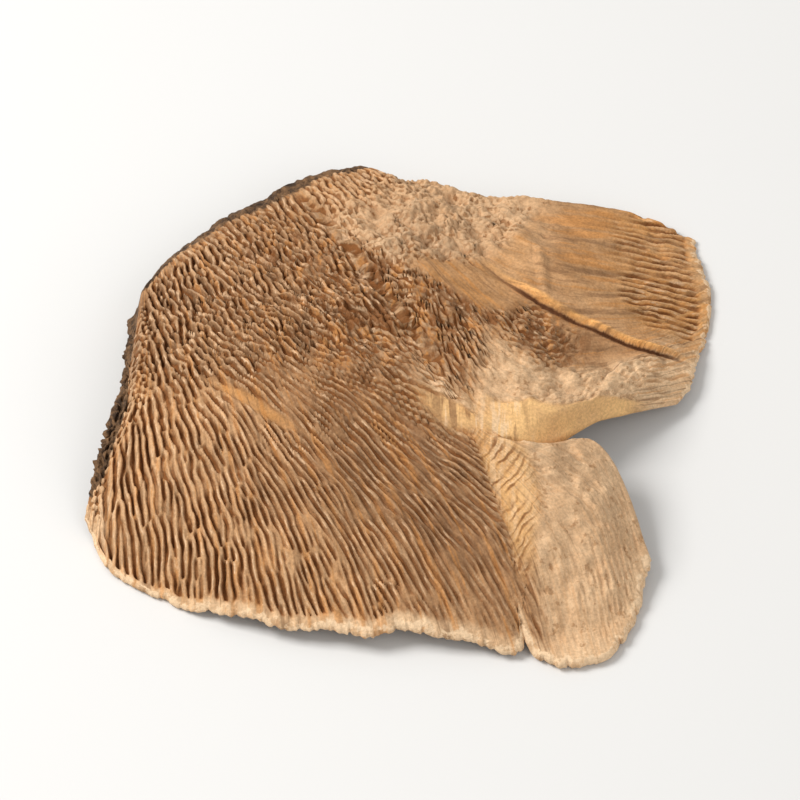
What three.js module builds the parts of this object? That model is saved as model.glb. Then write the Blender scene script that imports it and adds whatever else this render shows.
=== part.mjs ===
import * as THREE from 'three';

// A dried bracket mushroom, lying on its cap with the gilled side up. Millimetres, +Z up.
// The origin is on the surface that it lies on, under the middle of its outline.

// Gill paths run from the foot, where it grew on wood, out to the margin.
// Each has five plan points at the stations below, the height of the arched cap over the
// surface, and how far the cap's margin stands over the surface (below zero: it lies on it).
const STATIONS = [0, 0.4, 0.6, 0.8, 1];
const MAIN_LOBE = [
  { path: [[-52, 24], [-55, 1], [-58, -10], [-61, -19], [-62, -26]], crown: 9, tip: 2 },
  { path: [[-50, 26], [-49, -3], [-51, -18], [-53, -31], [-54, -39]], crown: 12, tip: -3 },
  { path: [[-46, 32], [-38, -4], [-35, -21], [-33, -37], [-33, -49]], crown: 16, tip: 2 },
  { path: [[-40, 38], [-25, -1], [-17, -20], [-9, -37], [-5, -55]], crown: 18, tip: 3 },
  { path: [[-34, 43], [-14, 4], [2, -16], [16, -38], [24, -58]], crown: 18, tip: 0 },
  { path: [[-29, 46], [-9, 6], [9, -15], [28, -37], [35, -59]], crown: 17.5, tip: -3 },
  { path: [[-26, 48], [-4, 7], [15, -16], [37, -33], [44, -54]], crown: 17, tip: -2 },
  { path: [[-23, 50], [2, 5], [21, -19], [40, -13], [50, -38]], crown: 16, tip: 2 },
];
const SIDE_LOBE = [
  { path: [[-21, 51], [4, 7], [22, -18], [40, -8], [57, 3]], crown: 15.5, tip: 2 },
  { path: [[-17, 53], [8, 16], [26, -4], [43, 2], [60, 14]], crown: 14, tip: 1 },
  { path: [[-11, 55], [11, 26], [29, 13], [46, 17], [62, 29]], crown: 11, tip: -2.5 },
  { path: [[-2, 57], [15, 51], [30, 49], [46, 48], [57, 44]], crown: 4, tip: -3 },
];
const MAIN_LAST = MAIN_LOBE.length - 1;
const SIDE_LAST = SIDE_LOBE.length - 1;

// Flesh between the cap and the gilled side, from the foot to the margin
const FLESH = [9.5, 7.8, 6.6, 4.4, 1.6];
const LEAST_FLESH = 0.9;
const FOOT_DROP = 12;
const FOOT_REACH = 0.11;
const ARCH_SHAPE = 0.8;
const SIDE_EDGE_SHARE = 0.4;
const NOTCH_EDGE_SHARE = 0.55;
const NOTCH_START = 0.6;

// Relief on the gilled side
const LOBE_LIFT = 3.5;
const FOLD_LIFT = 2.2;
const GILL_DEPTH = 1.9;
const TEETH_DEPTH = 1.5;
const FINE_DEPTH = 0.8;
const CRUST_LUMPS = 0.7;
const FULL_DEPTH_WIDTH = [0.4, 1.1];
const MARGIN_WAVE = 0.55;
const CRACK_DEPTH = 5;

// The grid: along the gill paths, and across them, two columns to a gill at the margin
const ROWS = 30;
const MAIN_COLUMNS = 108;
const BRIDGE_COLUMNS = 2;
const SIDE_COLUMNS = 36;
const COLUMNS = MAIN_COLUMNS + BRIDGE_COLUMNS + SIDE_COLUMNS;
const CAP_STEP = 2;
const SEED = 1207;

const clamp01 = (value) => Math.min(1, Math.max(0, value));
const mix = (from, to, share) => from + (to - from) * share;
const smooth = (low, high, value) => {
  const share = clamp01((value - low) / (high - low));
  return share * share * (3 - 2 * share);
};
const band = (low, high, soft, value) =>
  smooth(low - soft, low + soft, value) * (1 - smooth(high - soft, high + soft, value));

// A repeatable random number from 0 to 1 for a whole number
function chance(index) {
  let state = (index + SEED) | 0;
  state = Math.imul(state ^ (state >>> 16), 0x45d9f3b);
  state = Math.imul(state ^ (state >>> 15), 0x2c1b3c6d);
  return ((state ^ (state >>> 16)) >>> 0) / 4294967296;
}

// A smooth curve through evenly numbered values, at a fractional number
function through(values, place) {
  const last = values.length - 1;
  const index = Math.min(last - 1, Math.max(0, Math.floor(place)));
  const share = place - index;
  const start = values[index];
  const end = values[index + 1];
  const before = index > 0 ? values[index - 1] : 2 * start - end;
  const after = index < last - 1 ? values[index + 2] : 2 * end - start;
  const leave = (end - before) / 2;
  const arrive = (after - start) / 2;
  const square = share * share;
  const cube = square * share;
  return start * (2 * cube - 3 * square + 1) + leave * (cube - 2 * square + share)
    + end * (3 * square - 2 * cube) + arrive * (cube - square);
}

// A distance along the stations, as a fractional station number
function stationPlace(along) {
  let index = 0;
  while (index < STATIONS.length - 2 && along > STATIONS[index + 1]) index += 1;
  return index + (along - STATIONS[index]) / (STATIONS[index + 1] - STATIONS[index]);
}

// Plan point, crown and tip of a lobe, across its gill paths and along them
function guideAt(guides, across, along) {
  const place = stationPlace(along);
  const coordinate = (axis) =>
    through(guides.map((guide) => through(guide.path.map((point) => point[axis]), place)), across);
  return {
    x: coordinate(0),
    y: coordinate(1),
    crown: through(guides.map((guide) => guide.crown), across),
    tip: through(guides.map((guide) => guide.tip), across),
  };
}

// Splits a lobe into columns of equal width at the margin
function evenColumns(guides, count) {
  const samples = 400;
  const last = guides.length - 1;
  const lengths = [0];
  let previous = guideAt(guides, 0, 1);
  for (let k = 1; k <= samples; k += 1) {
    const next = guideAt(guides, (last * k) / samples, 1);
    lengths.push(lengths[k - 1] + Math.hypot(next.x - previous.x, next.y - previous.y));
    previous = next;
  }
  const places = [];
  let k = 0;
  for (let column = 0; column <= count; column += 1) {
    const wanted = (lengths[samples] * column) / count;
    while (k < samples - 1 && lengths[k + 1] < wanted) k += 1;
    const share = (wanted - lengths[k]) / (lengths[k + 1] - lengths[k]);
    places.push((last * (k + clamp01(share))) / samples);
  }
  return places;
}

const mainPlaces = evenColumns(MAIN_LOBE, MAIN_COLUMNS);
const sidePlaces = evenColumns(SIDE_LOBE, SIDE_COLUMNS);
const CRACK_COLUMN = mainPlaces.findIndex((place) => place > 3.97);

// Which lobe a column is on, and where across it; the bridge joins the two above the notch
function columnPlace(column) {
  if (column <= MAIN_COLUMNS) return { guides: MAIN_LOBE, across: mainPlaces[column] };
  if (column >= MAIN_COLUMNS + BRIDGE_COLUMNS && column <= COLUMNS) {
    return { guides: SIDE_LOBE, across: sidePlaces[column - MAIN_COLUMNS - BRIDGE_COLUMNS] };
  }
  return null;
}

// The margin is finely waved, with one crack beside the lobe's tip
function marginInset(column) {
  const wave = Math.sin(column * 0.93) + Math.sin(column * 0.41 + 1) + Math.sin(column * 1.7 + 2);
  const crack = column === CRACK_COLUMN ? CRACK_DEPTH : 0;
  return MARGIN_WAVE * (1 + wave / 3) + crack;
}

// Height of the cap side: an arch from foot to margin, flat where it would pass the surface
function capHeight(along, crown, tip) {
  const arch = Math.sin(Math.PI * along ** ARCH_SHAPE);
  const foot = FOOT_DROP * Math.exp(-((along / FOOT_REACH) ** 2));
  return { arch: Math.max(0, crown * arch + tip * along ** 3), foot };
}

// The flesh thins to the free edges: the two sides, and both sides of the notch
function edgeShare(onMain, across, along) {
  const pastNotch = smooth(NOTCH_START, NOTCH_START + 0.1, along);
  const outer = onMain ? smooth(0, 0.7, across) : smooth(0, 0.55, SIDE_LAST - across);
  const inner = onMain ? smooth(0, 0.5, MAIN_LAST - across) : smooth(0, 0.5, across);
  return mix(SIDE_EDGE_SHARE, 1, outer) * mix(1, mix(NOTCH_EDGE_SHARE, 1, inner), pastNotch);
}

// The pale lobe stands over the field on its left, and a fold crosses the side lobe
function foldLift(onMain, across, along) {
  if (onMain) {
    const past = Math.max(0, along - NOTCH_START);
    const crease = 3.95 + 3.05 * Math.exp(-past / 0.065);
    const height = LOBE_LIFT * mix(1, 0.25, clamp01(past / 0.35));
    return height * smooth(crease - 0.15, crease + 0.55, across) * smooth(0, 0.05, past);
  }
  const fold = 2.3 - 2.9 * (along - 0.55);
  return FOLD_LIFT * smooth(fold - 0.12, fold + 0.12, across) * band(0.52, 0.93, 0.06, along);
}

// Depth of the valleys between gills, zone by zone
function gillDepth(onMain, across, along) {
  const clear = 1 - smooth(0.95, 1, along);
  if (!onMain) {
    const end = FINE_DEPTH * smooth(0.72, 0.9, along);
    const dark = FINE_DEPTH * band(0.14, 0.58, 0.06, along) * (1 - smooth(0.9, 1.6, across));
    return (end + dark) * clear;
  }
  const field = band(0.4, 0.99, 0.06, along) * smooth(0.15, 0.6, across);
  const teeth = band(0.1, 0.42, 0.05, along) * smooth(0.1, 0.5, across);
  const paleLobe = smooth(NOTCH_START, 0.7, along) * smooth(4.2, 5, across);
  const deep = mix(GILL_DEPTH, FINE_DEPTH, Math.max(paleLobe, smooth(4, 6.5, across)));
  return Math.max(field * deep, teeth * mix(TEETH_DEPTH, FINE_DEPTH, smooth(3, 6, across))) * clear;
}

// Width of a column at a point; where columns crowd together the valleys get shallower
function columnWidth(column, along, x, y) {
  const beside = columnPlace(column + 1) ?? columnPlace(column - 1);
  if (!beside) return 0;
  const next = guideAt(beside.guides, beside.across, along);
  return Math.hypot(next.x - x, next.y - y);
}

// How deep the surface lies at a grid point: gills stand between valleys, every fourth column
// near the foot and every second one further out, with cross walls among the teeth
function valley(column, row, depth) {
  const along = row / ROWS;
  const step = column % 4;
  const between = smooth(0.4, 0.62, along);
  const wide = [0, 0.6, 1, 0.6][step];
  const narrow = [0, 1, 0, 1][step];
  const pair = Math.floor(column / 4);
  const isWall = along < 0.42 && (row + pair) % 3 === 0;
  const broken = chance(column * 61 + row) < 0.07 ? 0.4 : 1;
  const uneven = 0.8 + 0.4 * chance(column * 977);
  const crest = 0.18 * chance(column * 131 + row);
  return depth * Math.max(crest, mix(wide, narrow, between) * uneven * broken * (isWall ? 0.25 : 1));
}

// The pale crust along the far side has soft lumps and no gills
function crustLump(onMain, across, along, x, y) {
  if (onMain) return 0;
  const zone = smooth(1, 1.8, across) * band(0.08, 0.55, 0.08, along);
  return zone * CRUST_LUMPS * Math.sin(x * 0.52) * Math.sin(y * 0.61 + 1);
}

// One grid point: its plan place, the cap side's height and the gilled side's height
function gridPoint(column, row) {
  const place = columnPlace(column);
  if (!place) {
    const left = gridPoint(MAIN_COLUMNS, row);
    const right = gridPoint(MAIN_COLUMNS + BRIDGE_COLUMNS, row);
    return {
      x: mix(left.x, right.x, 0.5),
      y: mix(left.y, right.y, 0.5),
      cap: mix(left.cap, right.cap, 0.5),
      gills: mix(left.gills, right.gills, 0.5),
    };
  }
  const { guides, across } = place;
  const onMain = guides === MAIN_LOBE;
  let along = row / ROWS;
  if (row === ROWS) along -= marginInset(column) / 95;
  const { x, y, crown, tip } = guideAt(guides, across, along);
  const { arch, foot } = capHeight(along, crown, tip);
  const fullFlesh = through(FLESH, stationPlace(along)) * edgeShare(onMain, across, along);
  const flesh = Math.max(LEAST_FLESH, fullFlesh);
  const lift = foldLift(onMain, across, along) + crustLump(onMain, across, along, x, y);
  const fullWidth = mix(...FULL_DEPTH_WIDTH, smooth(0.4, 0.62, along));
  const room = clamp01(columnWidth(column, along, x, y) / fullWidth);
  const depth = gillDepth(onMain, across, along) * room;
  const carved = Math.min(valley(column, row, depth), flesh + lift - LEAST_FLESH);
  const cap = Math.max(0, arch - foot * edgeShare(onMain, across, 0));
  return { x, y, cap, gills: arch + flesh + lift - carved };
}

// The two sheets and the rim between them, as one closed skin
function mushroomGeometry() {
  const notchRow = Math.round(NOTCH_START * ROWS);
  const bridgeEnd = MAIN_COLUMNS + BRIDGE_COLUMNS;
  const positions = [];
  const triangles = [];

  const sheet = (step, heightOf, facesUp) => {
    const vertices = new Map();
    const vertex = (column, row) => {
      const key = column * (ROWS + 1) + row;
      if (!vertices.has(key)) {
        const point = gridPoint(column, row);
        vertices.set(key, positions.length / 3);
        positions.push(point.x, point.y, heightOf(point));
      }
      return vertices.get(key);
    };
    for (let column = 0; column < COLUMNS; column += step) {
      for (let row = 0; row < ROWS; row += step) {
        const inNotch = column >= MAIN_COLUMNS && column < bridgeEnd && row >= notchRow;
        if (inNotch) continue;
        const a = vertex(column, row);
        const b = vertex(column + step, row);
        const c = vertex(column + step, row + step);
        const d = vertex(column, row + step);
        if (facesUp) triangles.push(a, d, c, a, c, b);
        else triangles.push(a, c, d, a, b, c);
      }
    }
    return vertex;
  };

  // Grid corners of the outline, walked once round, with the notch
  const outline = [];
  const walk = (fromColumn, fromRow, toColumn, toRow) => {
    const steps = Math.max(Math.abs(toColumn - fromColumn), Math.abs(toRow - fromRow));
    const columnStep = Math.sign(toColumn - fromColumn);
    const rowStep = Math.sign(toRow - fromRow);
    for (let k = 0; k < steps; k += 1) {
      outline.push([fromColumn + k * columnStep, fromRow + k * rowStep]);
    }
  };
  walk(0, 0, 0, ROWS);
  walk(0, ROWS, MAIN_COLUMNS, ROWS);
  walk(MAIN_COLUMNS, ROWS, MAIN_COLUMNS, notchRow);
  walk(MAIN_COLUMNS, notchRow, bridgeEnd, notchRow);
  walk(bridgeEnd, notchRow, bridgeEnd, ROWS);
  walk(bridgeEnd, ROWS, COLUMNS, ROWS);
  walk(COLUMNS, ROWS, COLUMNS, 0);
  walk(COLUMNS, 0, 0, 0);

  const upper = sheet(1, (point) => point.gills, true);
  const lower = sheet(CAP_STEP, (point) => point.cap, false);
  for (let k = 0; k < outline.length; k += CAP_STEP) {
    const corner = (offset) => outline[(k + offset) % outline.length];
    const lowStart = lower(...corner(0));
    const lowEnd = lower(...corner(CAP_STEP));
    for (let part = 0; part < CAP_STEP; part += 1) {
      triangles.push(upper(...corner(part)), lowStart, upper(...corner(part + 1)));
    }
    triangles.push(lowStart, lowEnd, upper(...corner(CAP_STEP)));
  }

  const geometry = new THREE.BufferGeometry();
  geometry.setAttribute('position', new THREE.Float32BufferAttribute(positions, 3));
  geometry.setIndex(triangles);
  geometry.computeBoundingBox();
  const middle = geometry.boundingBox.getCenter(new THREE.Vector3());
  geometry.translate(-middle.x, -middle.y, 0);
  geometry.computeVertexNormals();
  return geometry;
}

const driedFlesh = new THREE.MeshStandardMaterial({ color: 0xb58a5c, roughness: 0.92, metalness: 0 });
const mushroom = new THREE.Mesh(mushroomGeometry(), driedFlesh);
mushroom.name = 'mushroom';

const part = new THREE.Group();
part.add(mushroom);

export default part;
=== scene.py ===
"""A dried bracket mushroom that lies on its cap with the gilled side up.

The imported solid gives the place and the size. This script puts one finely gilled mesh in its place,
worked out as two sheets over a plan of gill paths, with a rim between them, and dresses it.
Plan sizes are in millimetres and become metres only when a mesh is made.
"""
import logging
import math
from dataclasses import dataclass, field, fields
from enum import Enum

import bpy
import numpy as np
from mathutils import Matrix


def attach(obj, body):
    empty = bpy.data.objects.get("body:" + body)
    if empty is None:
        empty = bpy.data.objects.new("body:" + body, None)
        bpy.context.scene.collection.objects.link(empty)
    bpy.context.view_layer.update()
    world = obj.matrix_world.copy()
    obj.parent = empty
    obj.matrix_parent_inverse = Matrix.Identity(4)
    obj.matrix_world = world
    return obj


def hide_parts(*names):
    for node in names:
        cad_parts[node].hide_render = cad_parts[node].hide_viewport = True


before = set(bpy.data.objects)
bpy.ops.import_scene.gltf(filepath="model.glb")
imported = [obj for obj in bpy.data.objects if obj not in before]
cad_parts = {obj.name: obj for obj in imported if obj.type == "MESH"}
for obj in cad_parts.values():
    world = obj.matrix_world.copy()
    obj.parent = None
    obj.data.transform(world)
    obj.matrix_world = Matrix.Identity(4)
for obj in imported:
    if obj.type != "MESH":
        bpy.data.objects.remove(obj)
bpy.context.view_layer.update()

LOG = logging.getLogger("mushroom")
MM = 0.001
NODE = "mushroom"
SLOT = "dried_flesh"

Array = np.ndarray
Socket = bpy.types.NodeSocket
Colour = tuple[float, float, float]
Value = float | Socket
Paint = Colour | Socket

# Seeds of the random draws, apart from those of the gills
UNEVEN_SEED = 41
LEVEL_SEED = 42
RELIEF_SEED = 50
CAP_SEED = 77
RIM_SEED = 93


def smooth(low: float | Array, high: float | Array, value: float | Array) -> Array:
    """Smooth step: 0 below low, 1 above high, 3s^2 - 2s^3 between.

    Args:
        low: Where the step starts.
        high: Where the step ends.
        value: The place or places to work it out at.

    Returns:
        The step, from 0 to 1, in the shape of value.
    """
    share = np.clip((value - low) / (high - low), 0.0, 1.0)
    return share * share * (3.0 - 2.0 * share)


def band(low: float | Array, high: float | Array, soft: float, value: Array) -> Array:
    """A smooth step up at low times a smooth step down at high.

    Args:
        low: Where the band starts.
        high: Where the band ends.
        soft: Half the width of each of its two edges.
        value: The places to work it out at.

    Returns:
        1 inside the band, 0 outside it, smooth between.
    """
    return smooth(low - soft, low + soft, value) * (1.0 - smooth(high - soft, high + soft, value))


def mix(start: float | Array, end: float | Array, share: float | Array) -> Array:
    """The value a share of the way from start to end.

    Args:
        start: Value at share 0.
        end: Value at share 1.
        share: How far along, from 0 to 1.

    Returns:
        start + (end - start) * share.
    """
    return start + (end - start) * share


def spline_rows(values: Array, places: Array) -> Array:
    """Catmull-Rom curves through evenly numbered values, one curve to a row.

    Between knots b and c of a, b, c, d the curve is the cubic with slopes (c - a) / 2 and
    (d - b) / 2. Past each end the row goes on straight.

    Args:
        values: Knots, rows by knots by coordinates.
        places: Fractional knot numbers, rows by places.

    Returns:
        Points, rows by places by coordinates.
    """
    first = 2.0 * values[:, :1] - values[:, 1:2]
    final = 2.0 * values[:, -1:] - values[:, -2:-1]
    knots = np.concatenate([first, values, final], axis=1)
    index = np.clip(np.floor(places).astype(int), 0, values.shape[1] - 2)
    share = (places - index)[..., None]
    rows = np.arange(values.shape[0])[:, None]
    a, b, c, d = (knots[rows, index + step] for step in range(4))
    leave, arrive = (c - a) / 2.0, (d - b) / 2.0
    square, cube = share**2, share**3
    return (
        b * (2.0 * cube - 3.0 * square + 1.0)
        + leave * (cube - 2.0 * square + share)
        + c * (3.0 * square - 2.0 * cube)
        + arrive * (cube - square)
    )


@dataclass(frozen=True)
class GillPath:
    """One path of the plan, from the foot to the margin.

    Attributes:
        plan: Its five points, in millimetres.
        crown: Height of the arched cap over the surface, in millimetres.
        tip: How far the cap's margin stands over the surface; below zero, it lies on it.
    """

    plan: tuple[tuple[float, float], ...]
    crown: float
    tip: float


MAIN_PATHS = (
    GillPath(((-52, 24), (-54, 1), (-57, -10), (-60, -19), (-61.5, -26)), 9.0, 2.0),
    GillPath(((-50, 26), (-49, -3), (-51, -18), (-53, -31), (-54, -39)), 12.0, -3.0),
    GillPath(((-46, 32), (-38, -4), (-35, -21), (-33, -37), (-33, -49)), 16.0, 2.0),
    GillPath(((-40, 38), (-25, -1), (-17, -20), (-9, -37), (-5, -55)), 18.0, 3.0),
    GillPath(((-34, 43), (-14, 4), (2, -16), (16, -38), (24, -58)), 18.0, 0.0),
    GillPath(((-29, 46), (-9, 6), (9, -15), (28, -37), (35, -59)), 17.5, -3.0),
    GillPath(((-26, 48), (-4, 7), (15, -16), (37, -33), (44, -54)), 17.0, -2.0),
    GillPath(((-23, 50), (2, 5), (21, -19), (39.5, -15), (50, -38)), 16.0, 2.0),
)
SIDE_PATHS = (
    GillPath(((-21, 51), (4, 7), (22, -18), (40, -6), (57, 3)), 15.5, 2.0),
    GillPath(((-17, 53), (8, 16), (26, -4), (43, 2), (60, 14)), 14.0, 1.0),
    GillPath(((-11, 55), (11, 26), (29, 13), (46, 17), (62, 29)), 11.0, -2.5),
    GillPath(((-2, 57), (15, 51), (30, 49), (47, 48), (60, 43)), 4.0, -3.0),
)


@dataclass(frozen=True)
class Stations:
    """Where the five points of a gill path lie along it, and the flesh's thickness at each."""

    along: tuple[float, ...] = (0.0, 0.4, 0.6, 0.8, 1.0)
    flesh: tuple[float, ...] = (9.5, 7.8, 6.6, 4.4, 1.6)

    def place(self, along: Array) -> Array:
        """Turns shares of the path's length into fractional station numbers."""
        return np.interp(along, self.along, np.arange(len(self.along)))

    def flesh_at(self, along: Array) -> Array:
        """Thickness of the flesh by a smooth curve through the stations, in millimetres."""
        knots = np.array(self.flesh)[None, :, None]
        return spline_rows(knots, self.place(along.ravel())[None])[0, :, 0].reshape(along.shape)


class Wave(Enum):
    """The kinds of gill that the field is woven from.

    Each value holds the spacing in millimetres, how far the gills stray from their path in
    radians, how much the spacing varies as a share, and the seed of its random draw.
    """

    LONG = (1.6, 0.22, 0.22, 7)
    CLOSE = (1.35, 0.08, 0.2, 11)
    TEETH = (1.55, 0.42, 0.28, 8)
    MAZE = (1.5, 0.7, 0.34, 9)
    FINE = (1.35, 0.22, 0.24, 10)
    CELL = (1.4, 1.4, 0.32, 12)
    BROAD = (6.0, 0.15, 0.5, 13)
    GROOVE = (1.55, 0.05, 0.14, 14)
    BANK = (2.1, 0.05, 0.12, 15)


@dataclass(frozen=True)
class Stroke:
    """Which way the gills run at one place of the plan: the place in mm, the way in degrees."""

    x: float
    y: float
    heading: float


# The gills fan out from the foot, bend towards the margin and run level out on the side lobe
STROKES = (
    Stroke(-54, 1, 86),
    Stroke(-54, -18, 84),
    Stroke(-53, -28, 97),
    Stroke(-45, 3, -58),
    Stroke(-45, -8, -64),
    Stroke(-45, -18, -72),
    Stroke(-45, -28, -78),
    Stroke(-44, -38, -92),
    Stroke(-35, -6, -42),
    Stroke(-35, -18, -62),
    Stroke(-35, -29, -66),
    Stroke(-33, -40, -80),
    Stroke(-26, 18, -52),
    Stroke(-24, 9, -40),
    Stroke(-26, 0, -36),
    Stroke(-26, -13, -45),
    Stroke(-26, -26, -59),
    Stroke(-24, -42, -72),
    Stroke(-12, 18, -48),
    Stroke(-12, 9, -28),
    Stroke(-12, -6, -21),
    Stroke(-12, -20, -42),
    Stroke(-12, -33, -54),
    Stroke(-12, -46, -60),
    Stroke(2, 14, -22),
    Stroke(2, 4, -16),
    Stroke(2, -13, -24),
    Stroke(2, -26, -44),
    Stroke(2, -45, -58),
    Stroke(12, 4, -12),
    Stroke(12, -12, -20),
    Stroke(12, -25, -40),
    Stroke(12, -38, -49),
    Stroke(20, -48, -58),
    Stroke(20, 13, -8),
    Stroke(25, 23, -16),
    Stroke(30, 33, -40),
    Stroke(30, 14, -3),
    Stroke(42, 18, 8),
    Stroke(44, 28, 8),
    Stroke(50, 38, -3),
    Stroke(54, 12, 5),
    Stroke(26, -10, 32),
    Stroke(45, -3, 30),
    Stroke(30, -42, -62),
    Stroke(38, -26, -52),
    Stroke(40, -40, -75),
    Stroke(48, -34, -72),
)


@dataclass
class Loom:
    """A square raster over the plan that gill patterns and smooth noise are woven on.

    Attributes:
        low: Lowest corner, in millimetres.
        high: Highest corner, in millimetres.
        pitch: Size of a cell, in millimetres.
        turns: How many directions a pattern is woven from.
    """

    low: tuple[float, float] = (-66.0, -63.0)
    high: tuple[float, float] = (66.0, 63.0)
    pitch: float = 0.2
    turns: int = 16

    @property
    def shape(self) -> tuple[int, int]:
        """Cells along X and along Y."""
        return tuple(round((b - a) / self.pitch) for a, b in zip(self.low, self.high))

    def sample(self, raster: Array, x: Array, y: Array, pitch: float | None = None) -> Array:
        """Reads a raster between its cells, by straight lines along X and Y.

        Args:
            raster: The values, one to a cell.
            x: Places, in millimetres.
            y: Places, in millimetres.
            pitch: Size of the raster's cells, where it isn't the loom's own.

        Returns:
            The values at the places.
        """
        cell = pitch or self.pitch
        across = np.clip((x - self.low[0]) / cell - 0.5, 0.0, raster.shape[0] - 1.001)
        up = np.clip((y - self.low[1]) / cell - 0.5, 0.0, raster.shape[1] - 1.001)
        i, j = across.astype(int), up.astype(int)
        u, v = across - i, up - j
        below = raster[i, j] * (1.0 - u) + raster[i + 1, j] * u
        above = raster[i, j + 1] * (1.0 - u) + raster[i + 1, j + 1] * u
        return below * (1.0 - v) + above * v

    def cells(self) -> tuple[Array, Array]:
        """Plan places of the middles of all cells, in millimetres."""
        spans = [low + (np.arange(count) + 0.5) * self.pitch for low, count in zip(self.low, self.shape)]
        return tuple(np.meshgrid(*spans, indexing="ij"))

    def frequencies(self) -> tuple[Array, Array]:
        """Waves per millimetre and direction of each term of the Fourier transform."""
        fx = np.fft.fftfreq(self.shape[0], self.pitch)[:, None]
        fy = np.fft.fftfreq(self.shape[1], self.pitch)[None, :]
        return np.hypot(fx, fy), np.arctan2(fy, fx)

    def noise(self, size: float, seed: int) -> Array:
        """Smooth random hills: white noise whose waves shorter than size fade out.

        Args:
            size: How wide a hill is, in millimetres.
            seed: Seed of the random draw.

        Returns:
            The raster, with a mean of 0 and a spread of 1.
        """
        rate, _ = self.frequencies()
        white = np.fft.fft2(np.random.default_rng(seed).standard_normal(self.shape))
        hills = np.fft.ifft2(white * np.exp(-((rate * size) ** 2))).real
        hills -= hills.mean()
        return hills / hills.std()

    def comb(self, strokes: tuple[Stroke, ...], reach: float = 8.0) -> tuple[Array, Array, Array]:
        """Blends strokes over the raster, each with a bell-shaped weight round its place.

        Args:
            strokes: Which way the gills run at some places.
            reach: How far a stroke counts, in millimetres.

        Returns:
            Weighted sums of the cosine and sine of twice the heading, and of the weights.
        """
        x, y = self.cells()
        cosine, sine, total = (np.zeros(self.shape) for _ in range(3))
        for stroke in strokes:
            weight = np.exp(-((x - stroke.x) ** 2 + (y - stroke.y) ** 2) / reach**2)
            double = math.radians(2.0 * stroke.heading)
            cosine += weight * math.cos(double)
            sine += weight * math.sin(double)
            total += weight
        return cosine, sine, total

    def spread(self, x: Array, y: Array, values: list[Array], cell: float = 1.0) -> list[Array]:
        """Spreads values at scattered places over the raster, and past them.

        Each coarse cell takes the mean of the values in it. Empty cells take ever wider
        means of what lies round them.

        Args:
            x: Places, in millimetres.
            y: Places, in millimetres.
            values: The values at the places, one array to a raster.
            cell: Size of the coarse cells, in millimetres.

        Returns:
            One raster of the loom's own shape for each array of values.
        """
        counts = [round((b - a) / cell) for a, b in zip(self.low, self.high)]
        column = np.clip(((x - self.low[0]) / cell).astype(int), 0, counts[0] - 1)
        row = np.clip(((y - self.low[1]) / cell).astype(int), 0, counts[1] - 1)
        index = (column * counts[1] + row).ravel()
        total = counts[0] * counts[1]
        weight = np.bincount(index, minlength=total).reshape(counts)
        known = weight > 0
        places = self.cells()
        rasters = []
        for each in values:
            coarse = np.bincount(index, weights=each.ravel(), minlength=total).reshape(counts)
            coarse = coarse / np.maximum(weight, 1)
            filled, have = coarse.copy(), known.copy()
            for reach in (1, 2, 4, 8, 16):
                share = box_blur(known.astype(float), reach)
                fresh = ~have & (share > 1e-6)
                filled[fresh] = (box_blur(coarse, reach) / np.maximum(share, 1e-9))[fresh]
                have |= fresh
            rasters.append(self.sample(box_blur(filled, 1), *places, pitch=cell))
        return rasters

    def weave(self, angle: Array, wave: Wave) -> Array:
        """Gills as a complex wave whose crests run along the given directions.

        White noise is filtered to one band of spacing and one fan of directions at a time.
        Each cell blends the two fans next to its own direction, so that the gills follow
        their paths, and fork and end where the paths spread.

        Args:
            angle: Direction of the gills at each cell, in radians.
            wave: The kind of gill.

        Returns:
            The complex wave; its phase is 0 on a crest.
        """
        spacing, stray, vary, seed = wave.value
        rate, heading = self.frequencies()
        white = np.fft.fft2(np.random.default_rng(seed).standard_normal(self.shape))
        ring = np.exp(-((np.log(np.maximum(rate, 1e-9) * spacing) / vary) ** 2) / 2.0)
        across = angle + math.pi / 2.0
        step = math.pi / self.turns
        woven = np.zeros(self.shape, complex)
        for turn in range(self.turns):
            off = np.angle(np.exp(1j * (heading - turn * step)))
            fan = np.fft.ifft2(white * ring * np.exp(-((off / stray) ** 2) / 2.0))
            fan = np.where(np.cos(across - turn * step) < 0.0, np.conj(fan), fan)
            miss = np.angle(np.exp(2j * (across - turn * step))) / 2.0
            woven += fan * np.clip(1.0 - np.abs(miss) / step, 0.0, 1.0)
        return woven / np.sqrt(np.mean(np.abs(woven) ** 2))


def box_blur(values: Array, reach: int) -> Array:
    """Means over squares, three times over, which is close to a round blur.

    Args:
        values: The raster.
        reach: How many cells a square reaches to each side.

    Returns:
        The blurred raster.
    """
    for _ in range(3):
        for axis in (0, 1):
            shifts = range(-reach, reach + 1)
            values = sum(np.roll(values, shift, axis) for shift in shifts) / (2 * reach + 1)
    return values


class Zone(Enum):
    """The zones of the gilled side: a name, the wave that fills it, and its valleys' depth in mm."""

    LONG = ("long gills", Wave.LONG, 1.35)
    CENTRE = ("close gills", Wave.CLOSE, 0.85)
    GROOVES = ("grooves at the side lobe's end", Wave.GROOVE, 0.8)
    TEETH = ("teeth near the foot", Wave.TEETH, 1.7)
    MAZE = ("tangle in the middle", Wave.MAZE, 1.0)
    POCKET = ("broken pockets", Wave.LONG, 1.9)
    FINE = ("fine gills", Wave.FINE, 0.42)
    WALL = ("wall beside the pale lobe", Wave.BANK, 0.9)
    CELL = ("small cells", Wave.CELL, 0.5)
    PORE = ("pores at the left side", Wave.CELL, 1.2)

    @property
    def wave(self) -> Wave:
        """The kind of gill that fills the zone."""
        return self.value[1]

    @property
    def depth(self) -> float:
        """Depth of the zone's valleys, in millimetres."""
        return self.value[2]


@dataclass(frozen=True)
class RowSpan:
    """A run of rows: the shares of the path's length where it starts and ends, and its rows."""

    start: float
    end: float
    rows: int


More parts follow.
